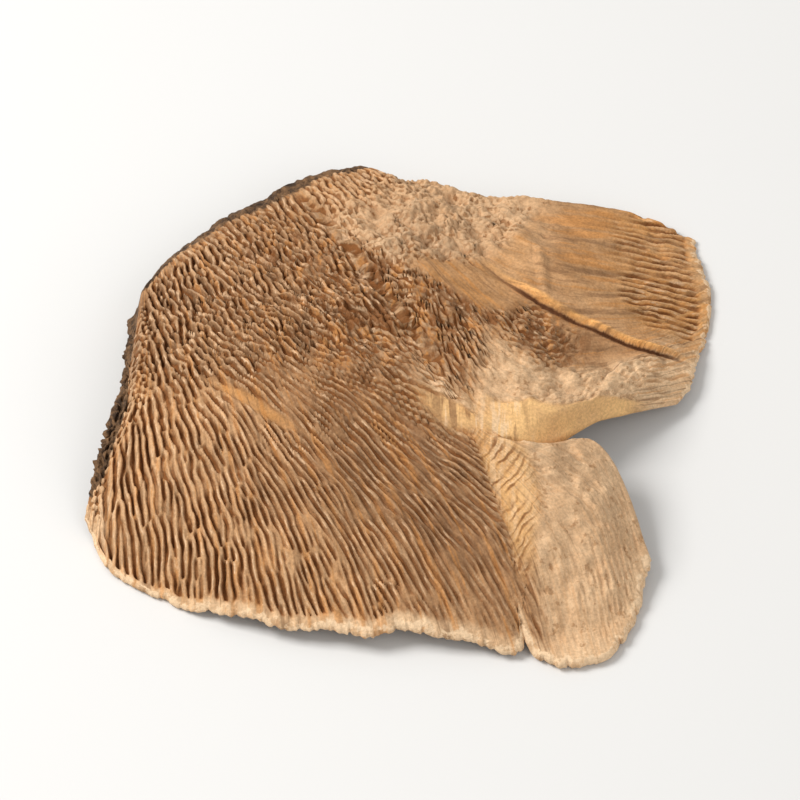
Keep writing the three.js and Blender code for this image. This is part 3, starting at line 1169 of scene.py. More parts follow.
@dataclass
class Bracket:
    """The whole mushroom: two lobes that share a foot, joined as far as the notch.

    Attributes:
        inner: Rows near the foot, on which only every second column is used.
        bridge: Columns of faces that join the lobes above the notch.
        cap_step: How many columns and rows of the gilled side meet one of the cap side.
        rim_rows: Rows of faces down the rim.
        least_left: Thinnest flesh left under a valley, in millimetres.
        path_pitch: Usual distance between two paths, in millimetres.
        wall_angle: Which way the ridges run up the wall, in radians.
        path_share: How much the gill paths' own direction counts beside that of the strokes.
        notching: How far a valley draws the margin back, in millimetres.
        clear_margin: Where the gills start to close and are closed, as shares of the way to it.
        crest_step: Cosines of the wave's phase at the foot and the top of a crest.
        closed_crest: The crest where the wave fades.
        wall_share: How much of the wall's relief the finish draws in its place.
        hill_sizes: Sizes of the noises that the surface is made uneven with, in millimetres.
        rings: Radians of the cap's rings of growth over the length of a path.
        rim_flatness: The edge's thickness over how far it bulges out.
        rim_bulge: How far it bulges out at most, in millimetres.
        rim_capped: The cap's share at the foot of the rim.
        loom: The raster that patterns are woven on.
    """

    inner: int = ROW_SPANS[0].rows
    bridge: int = 4
    cap_step: int = 4
    rim_rows: int = 4
    least_left: float = 0.7
    path_pitch: float = 17.0
    wall_angle: float = math.radians(40.0)
    path_share: float = 0.06
    notching: float = 0.25
    clear_margin: tuple[float, float] = (0.962, 0.985)
    crest_step: tuple[float, float] = (-0.65, 0.62)
    closed_crest: float = 0.7
    wall_share: float = 0.9
    hill_sizes: tuple[float, ...] = (1.1, 1.8, 2.6, 4.2, 14.0)
    rings: float = 62.0
    rim_flatness: float = 3.0
    rim_bulge: float = 0.8
    rim_capped: float = 0.6
    loom: Loom = field(default_factory=Loom)

    def __post_init__(self) -> None:
        """Lays out both lobes on the same rows."""
        self.main = MainLobe()
        self.side = SideLobe()
        self.rows = sum(span.rows for span in ROW_SPANS)
        self.notch_row = sum(span.rows for span in ROW_SPANS[:2])
        self.bridge_end = self.main.columns + self.bridge
        self.columns = self.bridge_end + self.side.columns

    def joined(self) -> Sheet:
        """Both lobes side by side, with even steps over the columns of the bridge between them.

        The gills are worn away in the trough, which is warm.

        Returns:
            The whole grid.
        """
        main, side = self.main.sheet(), self.side.sheet()
        side.across = side.across + self.main.last + 1.0
        steps = np.linspace(0.0, 1.0, self.bridge + 1)[1:-1]
        joined = {}
        for part in fields(Sheet):
            left, right = getattr(main, part.name), getattr(side, part.name)
            shares = steps.reshape(-1, *[1] * (left.ndim - 1))
            joined[part.name] = np.concatenate([left, mix(left[-1:], right[:1], shares), right])
        sheet = Sheet(**joined)
        worn = TROUGH.share(sheet.x, sheet.y)[..., None]
        sheet.zones *= 1.0 - 0.8 * worn
        sheet.tint[..., 1:2] = np.maximum(sheet.tint[..., 1:2], worn)
        return sheet

    def wall(self, sheet: Sheet) -> Array:
        """Share of the wall beside the pale lobe."""
        return sheet.zones[..., list(Zone).index(Zone.WALL)]

    def hills(self, sheet: Sheet, size: float, seed: int) -> Array:
        """Smooth random hills of one size, in millimetres, read at the grid points."""
        return self.loom.sample(self.loom.noise(size, seed), sheet.x, sheet.y)

    def gill_angle(self, sheet: Sheet) -> Array:
        """Direction of the gills over the whole plan, in radians.

        It is that of the strokes, blended with a little of the gill paths' own, save on the
        wall, where the ridges run slantwise up it. Angles are blended as the sine and cosine of
        twice the angle, so that both ways along a gill are the same.

        Args:
            sheet: The grid.

        Returns:
            Angles over the loom's raster.
        """
        run_x, run_y = np.gradient(sheet.x, axis=1), np.gradient(sheet.y, axis=1)
        double = 2.0 * np.arctan2(run_y, run_x)
        known = [np.cos(double), np.sin(double), self.wall(sheet)]
        cosine, sine, on_wall = self.loom.spread(sheet.x, sheet.y, known)
        combed = self.loom.comb(STROKES)
        total = combed[2] + self.path_share
        cosine = (combed[0] + self.path_share * cosine) / total
        sine = (combed[1] + self.path_share * sine) / total
        on_wall = smooth(0.1, 0.3, on_wall)
        cosine = mix(cosine, math.cos(2.0 * self.wall_angle), on_wall)
        sine = mix(sine, math.sin(2.0 * self.wall_angle), on_wall)
        return np.arctan2(sine, cosine) / 2.0

    def carve(self, sheet: Sheet) -> tuple[Array, Array, Array, Array]:
        """Works out the gills.

        The zones' waves are added up by their weights. A crest is a smooth step of the
        cosine of the sum's phase, about a level that wanders, and it closes where the wave
        fades. The valleys are the zones' depths times what the crest leaves. On the wall
        they are shallow, as the finish draws its fine ridges.

        Args:
            sheet: The grid.

        Returns:
            For the finish, the wave's two parts, the valleys' full depth and the wall's
            share, on a third axis; the crest from 0 to 1; the valley's depth, in millimetres;
            and the broad folds that run along the gills, about -1 to 1.
        """
        angle = self.gill_angle(sheet)
        uneven = 1.0 + 0.25 * self.hills(sheet, 5.0, UNEVEN_SEED)
        clear = 1.0 - smooth(*self.clear_margin, sheet.reach)
        woven = {wave: self.loom.weave(angle, wave) for wave in Wave}
        wave = np.zeros(sheet.x.shape, complex)
        depth = np.zeros_like(sheet.x)
        for index, zone in enumerate(Zone):
            weight = sheet.zones[..., index]
            wave += weight * self.loom.sample(woven[zone.wave], sheet.x, sheet.y)
            depth += weight * zone.depth
        depth *= np.clip(uneven, 0.4, 1.5) * clear / np.maximum(1.0, sheet.zones.sum(axis=-1))
        size = np.abs(wave)
        level = 0.35 * self.hills(sheet, 3.0, LEVEL_SEED)
        ridge = smooth(*self.crest_step, wave.real / np.maximum(size, 1e-6) - level)
        ridge = mix(self.closed_crest, ridge, smooth(0.05, 0.5, size))
        on_wall = self.wall(sheet)
        valley = depth * (1.0 - ridge) * (1.0 - self.wall_share * smooth(0.1, 0.6, on_wall))
        valley = np.minimum(valley, np.maximum(0.0, sheet.flesh + sheet.lift - self.least_left))
        broad = np.clip(self.loom.sample(woven[Wave.BROAD], sheet.x, sheet.y).real, -1.6, 1.6) / 1.6
        return np.stack([wave.real, wave.imag, depth, on_wall], axis=-1), ridge, valley, broad

    def bite(self, sheet: Sheet, ridge: Array) -> None:
        """Draws the margin back a little where a valley meets it, so that it is toothed.

        Args:
            sheet: The grid, whose plan places are moved.
            ridge: The crest from 0 to 1.
        """
        setback = self.notching * (1.0 - ridge[:, -3:-2]) * smooth(0.93, 1.0, sheet.reach)
        run_x, run_y = np.gradient(sheet.x, axis=1), np.gradient(sheet.y, axis=1)
        run = np.maximum(np.hypot(run_x, run_y), 1e-6)
        sheet.x -= setback * run_x / run
        sheet.y -= setback * run_y / run

    def uplift(self, sheet: Sheet, broad: Array) -> Array:
        """Works out the unevenness that the gills lie on.

        It adds up low hills, broad folds along the gills, lumps and pits in the crust, a
        rough tangle and flakes on the scars, each a noise times its share.

        Args:
            sheet: The grid.
            broad: The broad folds, about -1 to 1.

        Returns:
            Heights, in millimetres.
        """
        finest, fine, middling, wide, widest = (
            self.hills(sheet, size, RELIEF_SEED + round(size * 10)) for size in self.hill_sizes
        )
        room = smooth(1.2, 5.0, sheet.flesh)
        rim, rough, tangle = np.moveaxis(sheet.feel, 2, 0)
        hills = (0.4 * widest + 0.28 * broad * (1.0 - rough)) * room * (1.0 - 0.6 * rim)
        crust = rough * (0.6 * wide + 0.26 * middling + 0.12 * finest) * room
        pits = (0.6 * rough + 0.5 * tangle) * 0.5 * smooth(1.1, 1.9, fine) * room
        snarl = tangle * (0.28 * middling + 0.12 * finest) * room
        flakes = sheet.tint[..., 3] * (0.25 * middling + 0.15 * finest)
        grain = 0.05 * finest * (1.0 - 0.8 * rim)
        bumps = sum(bump.height * bump.share(sheet.x, sheet.y) for bump in BUMPS) * room
        return hills + crust - pits + snarl + flakes + grain + bumps

    def outline(self) -> tuple[Array, Array]:
        """Grid corners once round, anticlockwise from above, starting at the left of the foot.

        Returns:
            Their columns and their rows. Where only every second column is used, so is
            every second corner.
        """
        near, far, margin, notch = self.main.columns, self.bridge_end, self.rows, self.notch_row
        down = [(0, 0), (0, margin), (near, margin), (near, notch)]
        back = [(far, notch), (far, margin), (self.columns, margin), (self.columns, 0), (0, 0)]
        stops = down + back
        columns, rows = [], []
        for (column, row), (to_column, to_row) in zip(stops, stops[1:]):
            on_foot = row == 0 and to_row == 0
            count = max(abs(to_column - column), abs(to_row - row)) // (2 if on_foot else 1)
            columns.append(np.linspace(column, to_column, count + 1)[:-1])
            rows.append(np.linspace(row, to_row, count + 1)[:-1])
        return tuple(np.rint(np.concatenate(part)).astype(int) for part in (columns, rows))

    def sheet_faces(self, ids: Array, step: int) -> list[Array]:
        """Four-cornered faces of one sheet, facing up, without those inside the notch.

        Args:
            ids: Vertex numbers, columns by rows.
            step: Columns and rows from one corner to the next.

        Returns:
            Faces of four corners, and faces of three where the column count doubles.
        """
        fine = step == 1
        first = self.inner if fine else 0
        blocks = [(ids[::step, first::step], step, first)]
        faces = []
        if fine:
            blocks.append((ids[::2, : self.inner], 2, 0))
        for block, pace, start in blocks:
            corners = [block[:-1, :-1], block[:-1, 1:], block[1:, 1:], block[1:, :-1]]
            column = np.arange(block.shape[0] - 1)[:, None] * pace
            row = start + np.arange(block.shape[1] - 1)[None, :] * step
            gap = (column >= self.main.columns) & (column < self.bridge_end) & (row >= self.notch_row)
            faces.append(np.stack(corners, axis=-1)[~gap])
        if not fine:
            return faces
        low, high = ids[::2, self.inner - 1], ids[:, self.inner]
        left, right = low[:-1], low[1:]
        a, b, c = high[:-1:2], high[1::2], high[2::2]
        fans = [np.stack(fan, axis=-1) for fan in ((left, a, b), (left, b, right), (b, c, right))]
        return [np.concatenate(faces), np.concatenate(fans)]

    def skin(self) -> Skin:
        """Builds the closed skin: the gilled sheet, the rim and the coarser cap sheet.

        Returns:
            The skin, with its middle over the origin.
        """
        sheet = self.joined()
        wave, ridge, valley, broad = self.carve(sheet)
        self.bite(sheet, ridge)
        top = sheet.cap + sheet.flesh + sheet.lift - valley + self.uplift(sheet, broad)
        top = np.maximum(top, sheet.cap + self.least_left)
        count = top.size
        ids = np.arange(count).reshape(top.shape)
        paths = np.stack([sheet.across * self.path_pitch, sheet.reach * self.main.path_length], axis=-1)
        cap = self.cap_relief(sheet)
        feel = np.concatenate([sheet.feel, 0.5 + 0.5 * broad[..., None]], axis=-1)
        shared = {"tint": sheet.tint, "feel": feel, "fold": sheet.fold, "paths": paths}
        over = {"points": np.stack([sheet.x, sheet.y, top], axis=-1), "wave": wave, **shared}
        under = {"points": np.stack([sheet.x, sheet.y, cap], axis=-1), "wave": wave * 0.0, **shared}
        over["cap"], under["cap"] = np.zeros_like(top), np.ones_like(top)
        columns, rows = self.outline()
        rims = self.rim_loops(over, under, columns, rows)
        flat = {}
        for name, upper in over.items():
            upper = upper.reshape(count, -1)
            rim = rims[name].reshape(-1, upper.shape[1])
            flat[name] = np.concatenate([upper, rim, under[name].reshape(count, -1)])
        loops = count + np.arange(len(columns) * (self.rim_rows - 1)).reshape(self.rim_rows - 1, -1)
        low = ids + count + loops.size
        fours, threes = self.sheet_faces(ids, 1)
        under_faces = self.sheet_faces(low, self.cap_step)[0][:, ::-1]
        chain = [ids[columns, rows], *loops]
        walls = [
            np.stack([upper, lower, np.roll(lower, -1), np.roll(upper, -1)], axis=-1)
            for upper, lower in zip(chain, chain[1:])
        ]
        last = self.last_strip(chain[-1], low[columns, rows], columns, rows)
        polygons = [np.concatenate([fours, under_faces, *walls]), np.concatenate([threes, last])]
        used, packed = np.unique(np.concatenate([part.ravel() for part in polygons]), return_inverse=True)
        split = polygons[0].size
        polygons = [packed[:split].reshape(-1, 4), packed[split:].reshape(-1, 3)]
        kept = {name: part[used] for name, part in flat.items()}
        plan = kept["points"][:, :2]
        plan -= (plan.min(axis=0) + plan.max(axis=0)) / 2.0
        return Skin(polygons=polygons, **kept)

    def cap_relief(self, sheet: Sheet) -> Array:
        """Height of the cap side, with low rings of growth and a little unevenness.

        Args:
            sheet: The grid.

        Returns:
            Heights, in millimetres.
        """
        hills = self.hills(sheet, 7.0, CAP_SEED)
        rings = np.sin(sheet.along * self.rings + 1.2 * hills) * smooth(0.3, 0.7, sheet.along)
        room = smooth(0.3, 2.5, sheet.cap) * smooth(1.0, 3.0, sheet.flesh)
        return np.maximum(0.0, sheet.cap - room * (0.2 + 0.16 * rings + 0.18 * hills))

    def rim_loops(
        self, over: dict[str, Array], under: dict[str, Array], columns: Array, rows: Array
    ) -> dict[str, Array]:
        """Loops of vertices between the edges of the two sheets.

        A loop at share t of the way down lies there on the straight line between the
        edges, and bulges out by sin(pi * t) times a share of the thickness, up to a
        limit, with a random roughness on the scars. The cap's share grows with t squared.

        Args:
            over: Values on the gilled side, by name.
            under: The same on the cap side.
            columns: Columns of the outline's corners.
            rows: Rows of the outline's corners.

        Returns:
            The same values on the loops, loops by corners by numbers.
        """
        shares = np.arange(1, self.rim_rows) / self.rim_rows
        mixed = {}
        for name in over:
            start = over[name][columns, rows].reshape(len(columns), -1)
            end = under[name][columns, rows].reshape(len(columns), -1)
            mixed[name] = mix(start[None], end[None], shares[:, None, None])
        edge = over["points"][columns, rows]
        ahead = np.roll(edge, -3, axis=0)[:, :2] - np.roll(edge, 3, axis=0)[:, :2]
        ahead /= np.maximum(np.hypot(*ahead.T), 1e-9)[:, None]
        out = np.stack([ahead[:, 1], -ahead[:, 0]], axis=-1)
        thick = edge[:, 2] - under["points"][columns, rows][:, 2]
        most = np.minimum(thick / self.rim_flatness, self.rim_bulge)
        bulge = most[None, :] * np.sin(math.pi * shares)[:, None]
        draw = np.random.default_rng(RIM_SEED).standard_normal((len(shares), len(columns)))
        fine, coarse = (
            sum(np.roll(draw, shift, axis=1) for shift in range(width)) / math.sqrt(width)
            for width in (3, 13)
        )
        torn = over["tint"][columns, rows][:, 3] * smooth(1.0, 3.0, thick)
        bulge = bulge + (0.12 * fine + 0.3 * coarse) * torn
        mixed["points"][..., :2] += bulge[..., None] * out[None]
        mixed["cap"][:] = shares[:, None, None] ** 2 * self.rim_capped
        return mixed

    def last_strip(self, fine: Array, low: Array, columns: Array, rows: Array) -> Array:
        """Triangles from the lowest loop to the cap sheet's wider-spaced edge.

        Args:
            fine: The loop's vertex numbers.
            low: The cap sheet's vertex numbers at the same corners.
            columns: Columns of the corners.
            rows: Rows of the corners.

        Returns:
            Faces of three corners.
        """
        count = len(fine)
        stops = np.flatnonzero((columns % self.cap_step == 0) & (rows % self.cap_step == 0))
        after = np.append(stops[1:], count)
        segment = np.repeat(np.arange(len(stops)), after - stops)
        place = np.arange(count) - stops[segment]
        halfway = (after - stops) // 2
        nearer = np.where(place < halfway[segment], stops[segment], after[segment] % count)
        ring = np.stack([fine, low[nearer], np.roll(fine, -1)], axis=-1)
        middle = stops + halfway
        joins = np.stack([fine[middle], low[stops], low[after % count]], axis=-1)
        return np.concatenate([ring, joins])

    def build(self) -> bpy.types.Object:
        """Makes the mesh object, with its attributes and its UV map.

        Returns:
            The object.
        """
        skin = self.skin()
        mesh = bpy.data.meshes.new("gilled_bracket")
        counts = np.concatenate([np.full(len(part), part.shape[1]) for part in skin.polygons])
        corners = np.concatenate([part.ravel() for part in skin.polygons])
        starts = np.concatenate([[0], np.cumsum(counts)[:-1]])
        mesh.vertices.add(len(skin.points))
        mesh.vertices.foreach_set("co", (skin.points * MM).ravel())
        mesh.loops.add(len(corners))
        mesh.loops.foreach_set("vertex_index", corners)
        mesh.polygons.add(len(counts))
        mesh.polygons.foreach_set("loop_start", starts)
        mesh.polygons.foreach_set("use_smooth", np.ones(len(counts), bool))
        mesh.update(calc_edges=True)
        mesh.attributes.new("cap", "FLOAT", "POINT").data.foreach_set("value", skin.cap.ravel())
        for name in ("wave", "tint", "feel", "fold"):
            values = getattr(skin, name)
            mesh.attributes.new(name, "FLOAT_COLOR", "POINT").data.foreach_set("color", values.ravel())
        mesh.uv_layers.new(name="paths").data.foreach_set("uv", skin.paths[corners].ravel())
        LOG.info("skin: %d vertices, %d triangles", len(skin.points), int((counts - 2).sum()))
        piece = bpy.data.objects.new("gilled_bracket", mesh)
        bpy.context.scene.collection.objects.link(piece)
        return piece


def paint(red: int, green: int, blue: int) -> Colour:
    """Turns a colour as seen on a screen, 0 to 255, into linear light."""
    seen = np.array([red, green, blue]) / 255.0
    return tuple(np.where(seen <= 0.04045, seen / 12.92, ((seen + 0.055) / 1.055) ** 2.4))


@dataclass
class Board:
    """A material's node board, with short ways to place and wire nodes.

    Attributes:
        tree: The material's node tree.
    """

    tree: bpy.types.NodeTree

    def add(
        self, kind: str, inputs: dict[str | int, object] | None = None, **settings: object
    ) -> bpy.types.Node:
        """Places a node.

        Args:
            kind: Blender's name of the node.
            inputs: Sockets by name or number, and what each gets: another socket or a value.
            settings: The node's own settings.

        Returns:
            The node.
        """
        node = self.tree.nodes.new(kind)
        for name, value in settings.items():
            setattr(node, name, value)
        for key, value in (inputs or {}).items():
            socket = node.inputs[key]
            if isinstance(value, Socket):
                self.tree.links.new(value, socket)
            elif isinstance(value, tuple) and len(value) == 3 and socket.type == "RGBA":
                socket.default_value = (*value, 1.0)
            else:
                socket.default_value = value
        return node

    def attribute(self, name: str) -> bpy.types.Node:
        """Reads one of the mesh's attributes."""
        return self.add("ShaderNodeAttribute", attribute_name=name)

    def noise(
        self, place: Socket, scale: float = 1.0, detail: float = 3.0, roughness: float = 0.55
    ) -> Socket:
        """Cloudy noise from about 0.3 to 0.7."""
        values = {"Vector": place, "Scale": scale, "Detail": detail, "Roughness": roughness}
        return self.add("ShaderNodeTexNoise", values).outputs[0]

    def step(
        self, value: Value, low: float, high: float, to_low: float = 0.0, to_high: float = 1.0
    ) -> Socket:
        """Smooth step from to_low at low to to_high at high."""
        values = {0: value, 1: low, 2: high, 3: to_low, 4: to_high}
        return self.add("ShaderNodeMapRange", values, interpolation_type="SMOOTHSTEP").outputs[0]

    def math(self, operation: str, first: Value, second: Value = 0.0) -> Socket:
        """One sum on two numbers."""
        return self.add("ShaderNodeMath", {0: first, 1: second}, operation=operation).outputs[0]

    def sum(self, first: Value, *others: Value) -> Socket:
        """Adds up numbers."""
        for other in others:
            first = self.math("ADD", first, other)
        return first

    def times(self, first: Value, *others: Value) -> Socket:
        """Multiplies numbers."""
        for other in others:
            first = self.math("MULTIPLY", first, other)
        return first

    def most(self, first: Value, second: Value) -> Socket:
        """The greater of two numbers."""
        return self.math("MAXIMUM", first, second)

    def parts(self, colour: Socket) -> list[Socket]:
        """The three parts of a colour or an attribute."""
        return self.add("ShaderNodeSeparateColor", {0: colour}).outputs[:3]

    def mix(self, share: Value, first: Paint, second: Paint) -> Socket:
        """Mixes two colours."""
        return self.add("ShaderNodeMix", {0: share, 6: first, 7: second}, data_type="RGBA").outputs[2]

    def scaled(self, colour: Paint, factor: Value) -> Socket:
        """Lightens or darkens a colour."""
        return self.add("ShaderNodeVectorMath", {0: colour, "Scale": factor}, operation="SCALE").outputs[0]

    def joined(self, first: Value, second: Value) -> Socket:
        """Makes a place on the UV map from two numbers."""
        return self.add("ShaderNodeCombineXYZ", {0: first, 1: second}).outputs[0]

    def stretched(self, place: Socket, scale: tuple[float, float, float]) -> Socket:
        """Stretches a pattern along its own axes."""
        return self.add("ShaderNodeMapping", {"Vector": place, "Scale": scale}).outputs[0]


@dataclass(frozen=True)
class Readings:
    """Sockets that the colours are mixed by.

    Attributes:
        place: Object coordinates.
        paths: Distances across and along the gill paths.
        pale: Share of pale flesh, which at the side lobe's end is partly painted light.
        warm: Share of warm flesh.
        brown: Share of brown flesh, and of painted shade beyond the side lobe's fold.
        scar: Share of scar.
        rim: Share of the smooth rim band, whose brighter colour is partly painted light.
        rough: Share of rough crust.
        tangle: Share of tangle.
        broad: The broad folds, 0 in their troughs and 1 on their backs; painted shade and light follow
            them.
        lip: Share of the painted highlight on the lip of a fold.
        gutter: Share of the painted shadow in the line under it and round the low bump's edge.
        hollow: 0 on a gill's crest, 1 in a deep valley; its darkening is partly painted shade.
        edge: Share of the painted highlight along one side of the crests, and of the paler tops.
        clouds: Broad noise.
        mottle: Fine noise.
        grain: Finest noise.
        fibres: Noise drawn out along the gill paths.
    """

    place: Socket
    paths: Socket
    pale: Socket
    warm: Socket
    brown: Socket
    scar: Socket
    rim: Socket
    rough: Socket
    tangle: Socket
    broad: Socket
    lip: Socket
    gutter: Socket
    hollow: Socket
    edge: Socket
    clouds: Socket
    mottle: Socket
    grain: Socket
    fibres: Socket


@dataclass(frozen=True)
class DriedFlesh:
    """The finish of the whole mushroom, as colours in linear light.

    Attributes:
        crest: Edges of the gills in the field.
        dull: The same where they are duller.
        valley: Floors between them, darker partly as painted shade and partly as dust.
        pale: Young flesh of the pale lobe, the crust and the margin, and partly painted light at the side
            lobe's end.
        pale_valley: Floors between its fine gills, and its pits, darker as painted shade and dust.
        warm: Flesh of the folds, the wall and the rim band.
        brown: Flesh of the darker middle, and painted shade beyond the side lobe's fold.
        amber: Flesh that shows through where the middle is torn.
        lit: Painted highlight on the fold's lip.
        clear: Flesh of the smooth rim band and the wall: pale, and partly painted light.
        shadow: Painted shadow in the line under the lip and round the low bump's edge.
        glint: Painted highlight along one side of the crests, and paler dry edges on their tops.
        cream: Crumbly edge of the margin.
        crumbs_from: Where along the paths the margin's edge starts, in millimetres of the UV map.
        crumbs_width: How soon it is full, in millimetres.
        wall_heading: Which way the wall's fine ridges run, in radians.
        wall_spacing: How far apart they stand, in metres.
        bars_until: How far east the rim band's bars are full, and where they end, in metres.
        scar: Torn bark and old wood on the left side and the foot.
        scar_dust: Torn flesh among it.
        cap: The cap side.
        cap_pale: Its paler rings.
        cap_stain: Resin stains on it.
        roughness: How dull the surface is.
        shine: How much it still shines.
        bump_strength: How much of the fine relief bends the light.
        bump_depth: Depth of the fine relief, in metres.
    """

    crest: Colour = paint(190, 148, 106)
    dull: Colour = paint(168, 122, 80)
    valley: Colour = paint(126, 78, 38)
    pale: Colour = paint(220, 185, 145)
    pale_valley: Colour = paint(158, 114, 72)
    warm: Colour = paint(196, 142, 84)
    brown: Colour = paint(132, 95, 63)
    amber: Colour = paint(190, 128, 66)
    lit: Colour = paint(240, 178, 108)
    clear: Colour = paint(232, 186, 126)
    shadow: Colour = paint(86, 50, 24)
    glint: Colour = paint(220, 184, 146)
    cream: Colour = paint(226, 194, 156)
    crumbs_from: float = 94.3
    crumbs_width: float = 0.9
    wall_heading: float = math.radians(50.0)
    wall_spacing: float = 0.0016
    bars_until: tuple[float, float] = (0.019, 0.03)
    scar: Colour = paint(52, 37, 25)
    scar_dust: Colour = paint(124, 92, 62)
    cap: Colour = paint(172, 138, 104)
    cap_pale: Colour = paint(196, 164, 130)
    cap_stain: Colour = paint(92, 64, 44)
    roughness: float = 0.86
    shine: float = 0.25
    bump_strength: float = 0.55
    bump_depth: float = 0.00022

    def dress(self, piece: bpy.types.Object) -> None:
        """Builds the material and gives it to the piece.

        The cap attribute leads from the gilled side's colours to the cap side's. The
        finest noise lightens and darkens both a little, and with the other noises and the
        gills it bends the light over the surface.

        Args:
            piece: The mushroom.
        """
        material = bpy.data.materials.new(SLOT)
        material.use_nodes = True
        tree = material.node_tree
        tree.nodes.clear()
        board = Board(tree)
        read = self.readings(board)
        on_cap = board.step(board.attribute("cap").outputs["Fac"], 0.35, 0.75)
        colour = board.mix(on_cap, self.gilled(board, read), self.capped(board, read))
        colour = board.scaled(colour, board.step(read.grain, 0.3, 0.7, 0.84, 1.13))
        fibred = board.times(read.fibres, board.step(read.rough, 0.0, 1.0, 0.8, 0.2))
        heights = board.sum(fibred, read.grain, read.mottle)
        heights = board.math("SUBTRACT", heights, board.times(read.hollow, 1.2))
        relief = {"Height": heights, "Strength": self.bump_strength, "Distance": self.bump_depth}
        bump = board.add("ShaderNodeBump", relief)
        shader = board.add(
            "ShaderNodeBsdfPrincipled",
            {
                "Base Color": colour,
                "Roughness": self.roughness,
                "Specular IOR Level": self.shine,
                "Normal": bump.outputs[0],
            },
        )
        output = board.add("ShaderNodeOutputMaterial")
        tree.links.new(shader.outputs[0], output.inputs[0])
        piece.data.materials.append(material)

    def readings(self, board: Board) -> Readings:
        """Places the nodes that read the mesh's attributes, and the shared noises.

        Args:
            board: The node board.

        Returns:
            The sockets.
        """
        place = board.add("ShaderNodeTexCoord").outputs["Object"]
        paths = board.add("ShaderNodeUVMap", uv_map="paths").outputs[0]
        tint = board.attribute("tint")
        pale, warm, brown = board.parts(tint.outputs["Color"])
        lip, gutter = self.folds(board)
        hollow, edge = self.gills(board, place)
        feel = board.attribute("feel")
        rim, rough, tangle = board.parts(feel.outputs["Color"])
        return Readings(
            place=place,
            paths=paths,
            pale=pale,
            warm=warm,
            brown=brown,
            scar=tint.outputs["Alpha"],
            rim=rim,
            rough=rough,
            tangle=tangle,
            broad=feel.outputs["Alpha"],
            lip=lip,
            gutter=gutter,
            hollow=hollow,
            edge=edge,
            clouds=board.noise(place, 70.0, 4.0),
            mottle=board.noise(place, 380.0, 5.0, 0.65),
            grain=board.noise(place, 1900.0, 3.0, 0.6),
            fibres=board.noise(board.stretched(paths, (1.6, 0.12, 1.0)), detail=4.0, roughness=0.6),
        )

    def folds(self, board: Board) -> tuple[Socket, Socket]:
        """Reads the folds' distances and shares: the first's painted lip highlight, both painted shadow
        lines.

        Args:
            board: The node board.

        Returns:
            Sockets of the painted lip highlight's share and of the painted shadow lines'.
        """
        fold = board.attribute("fold")
        past, share, past_bump = board.parts(fold.outputs["Color"])
        # Painted highlight on the fold's lip, just past the fold
        lip = board.times(board.step(past, -0.25, 0.1), board.step(past, 1.3, 0.4), share)
        # Painted shadow in the line just before the fold, under its lip, and a weaker one round the low
        # bump's edge
        first = board.times(board.step(past, -1.2, -0.55), board.step(past, -0.05, -0.3), share)
        bump_edge_shadow = board.times(board.step(past_bump, -0.9, -0.3), board.step(past_bump, 0.3, -0.1))
        return lip, board.most(first, board.times(bump_edge_shadow, fold.outputs["Alpha"], 0.5))

    def gills(self, board: Board, place: Socket) -> tuple[Socket, Socket]:
        """Reads the gills from the wave attribute.

        As in the relief, a crest is where the cosine of the wave's phase is high. A hollow
        is a smooth step down of it, times how deep the valleys are there; the valleys it
        darkens are partly painted shade and partly dust. A painted highlight runs along one
        side of the crest, where the sine of the phase is about -0.75, in stretches that a
        noise picks out, and a weaker one lies on the crest's paler dry top. On the wall the
        phase is that of its own fine ridges, whose gaps are narrower and come and go.

        Args:
            board: The node board.
            place: Object coordinates.

        Returns:
            Sockets of the hollow, from 0 to 1, and of the painted crest highlight's share.
        """
        wave = board.attribute("wave")
        even, odd, depth = board.parts(wave.outputs["Color"])
        on_wall = board.step(wave.outputs["Alpha"], 0.15, 0.6)
        off_wall = board.math("SUBTRACT", 1.0, on_wall)
        turn = self.wall_turn(board, place)
        even = board.sum(board.times(even, off_wall), board.times(board.math("COSINE", turn), on_wall))
        odd = board.sum(board.times(odd, off_wall), board.times(board.math("SINE", turn), on_wall))
        squares = board.sum(board.times(even, even), board.times(odd, odd))
        size = board.most(board.math("SQRT", squares), 0.001)
        cosine, sine = board.math("DIVIDE", even, size), board.math("DIVIDE", odd, size)
        wander = board.step(board.noise(place, 260.0, 3.0), 0.3, 0.7, -0.4, 0.4)
        gap = board.step(board.sum(cosine, wander, board.times(on_wall, 0.45)), -0.8, 0.2, 1.0, 0.0)
        fading = board.step(board.noise(place, 240.0), 0.35, 0.6, 0.15, 0.95)
        faint = board.sum(off_wall, board.times(on_wall, fading))
        share = board.times(board.step(size, 0.05, 0.45), board.step(depth, 0.1, 1.1), faint)
        stretches = board.step(board.noise(place, 330.0, 4.0, 0.6), 0.49, 0.62)
        # Painted highlight along one side of each crest, and a weaker one on the crest's paler dry top
        edge = board.times(board.step(cosine, 0.1, 0.4), board.step(sine, -0.2, -0.55), share, stretches)
        top = board.times(board.step(cosine, 0.6, 0.95), share, 0.35)
        return board.times(gap, share), board.most(edge, top)

    def wall_turn(self, board: Board, place: Socket) -> Socket:
        """Phase of the wall's ridges: it grows evenly across their heading, and sways by a noise.

        Args:
            board: The node board.
            place: Object coordinates.

        Returns:
            The phase's socket, in radians.
        """
        x, y = board.add("ShaderNodeSeparateXYZ", {0: place}).outputs[:2]
        rate = 2.0 * math.pi / self.wall_spacing
        turn = board.sum(
            board.times(y, rate * math.cos(self.wall_heading)),
            board.times(x, -rate * math.sin(self.wall_heading)),
        )
        return board.sum(turn, board.step(board.noise(place, 170.0, 2.0), 0.3, 0.7, -3.0, 3.0))

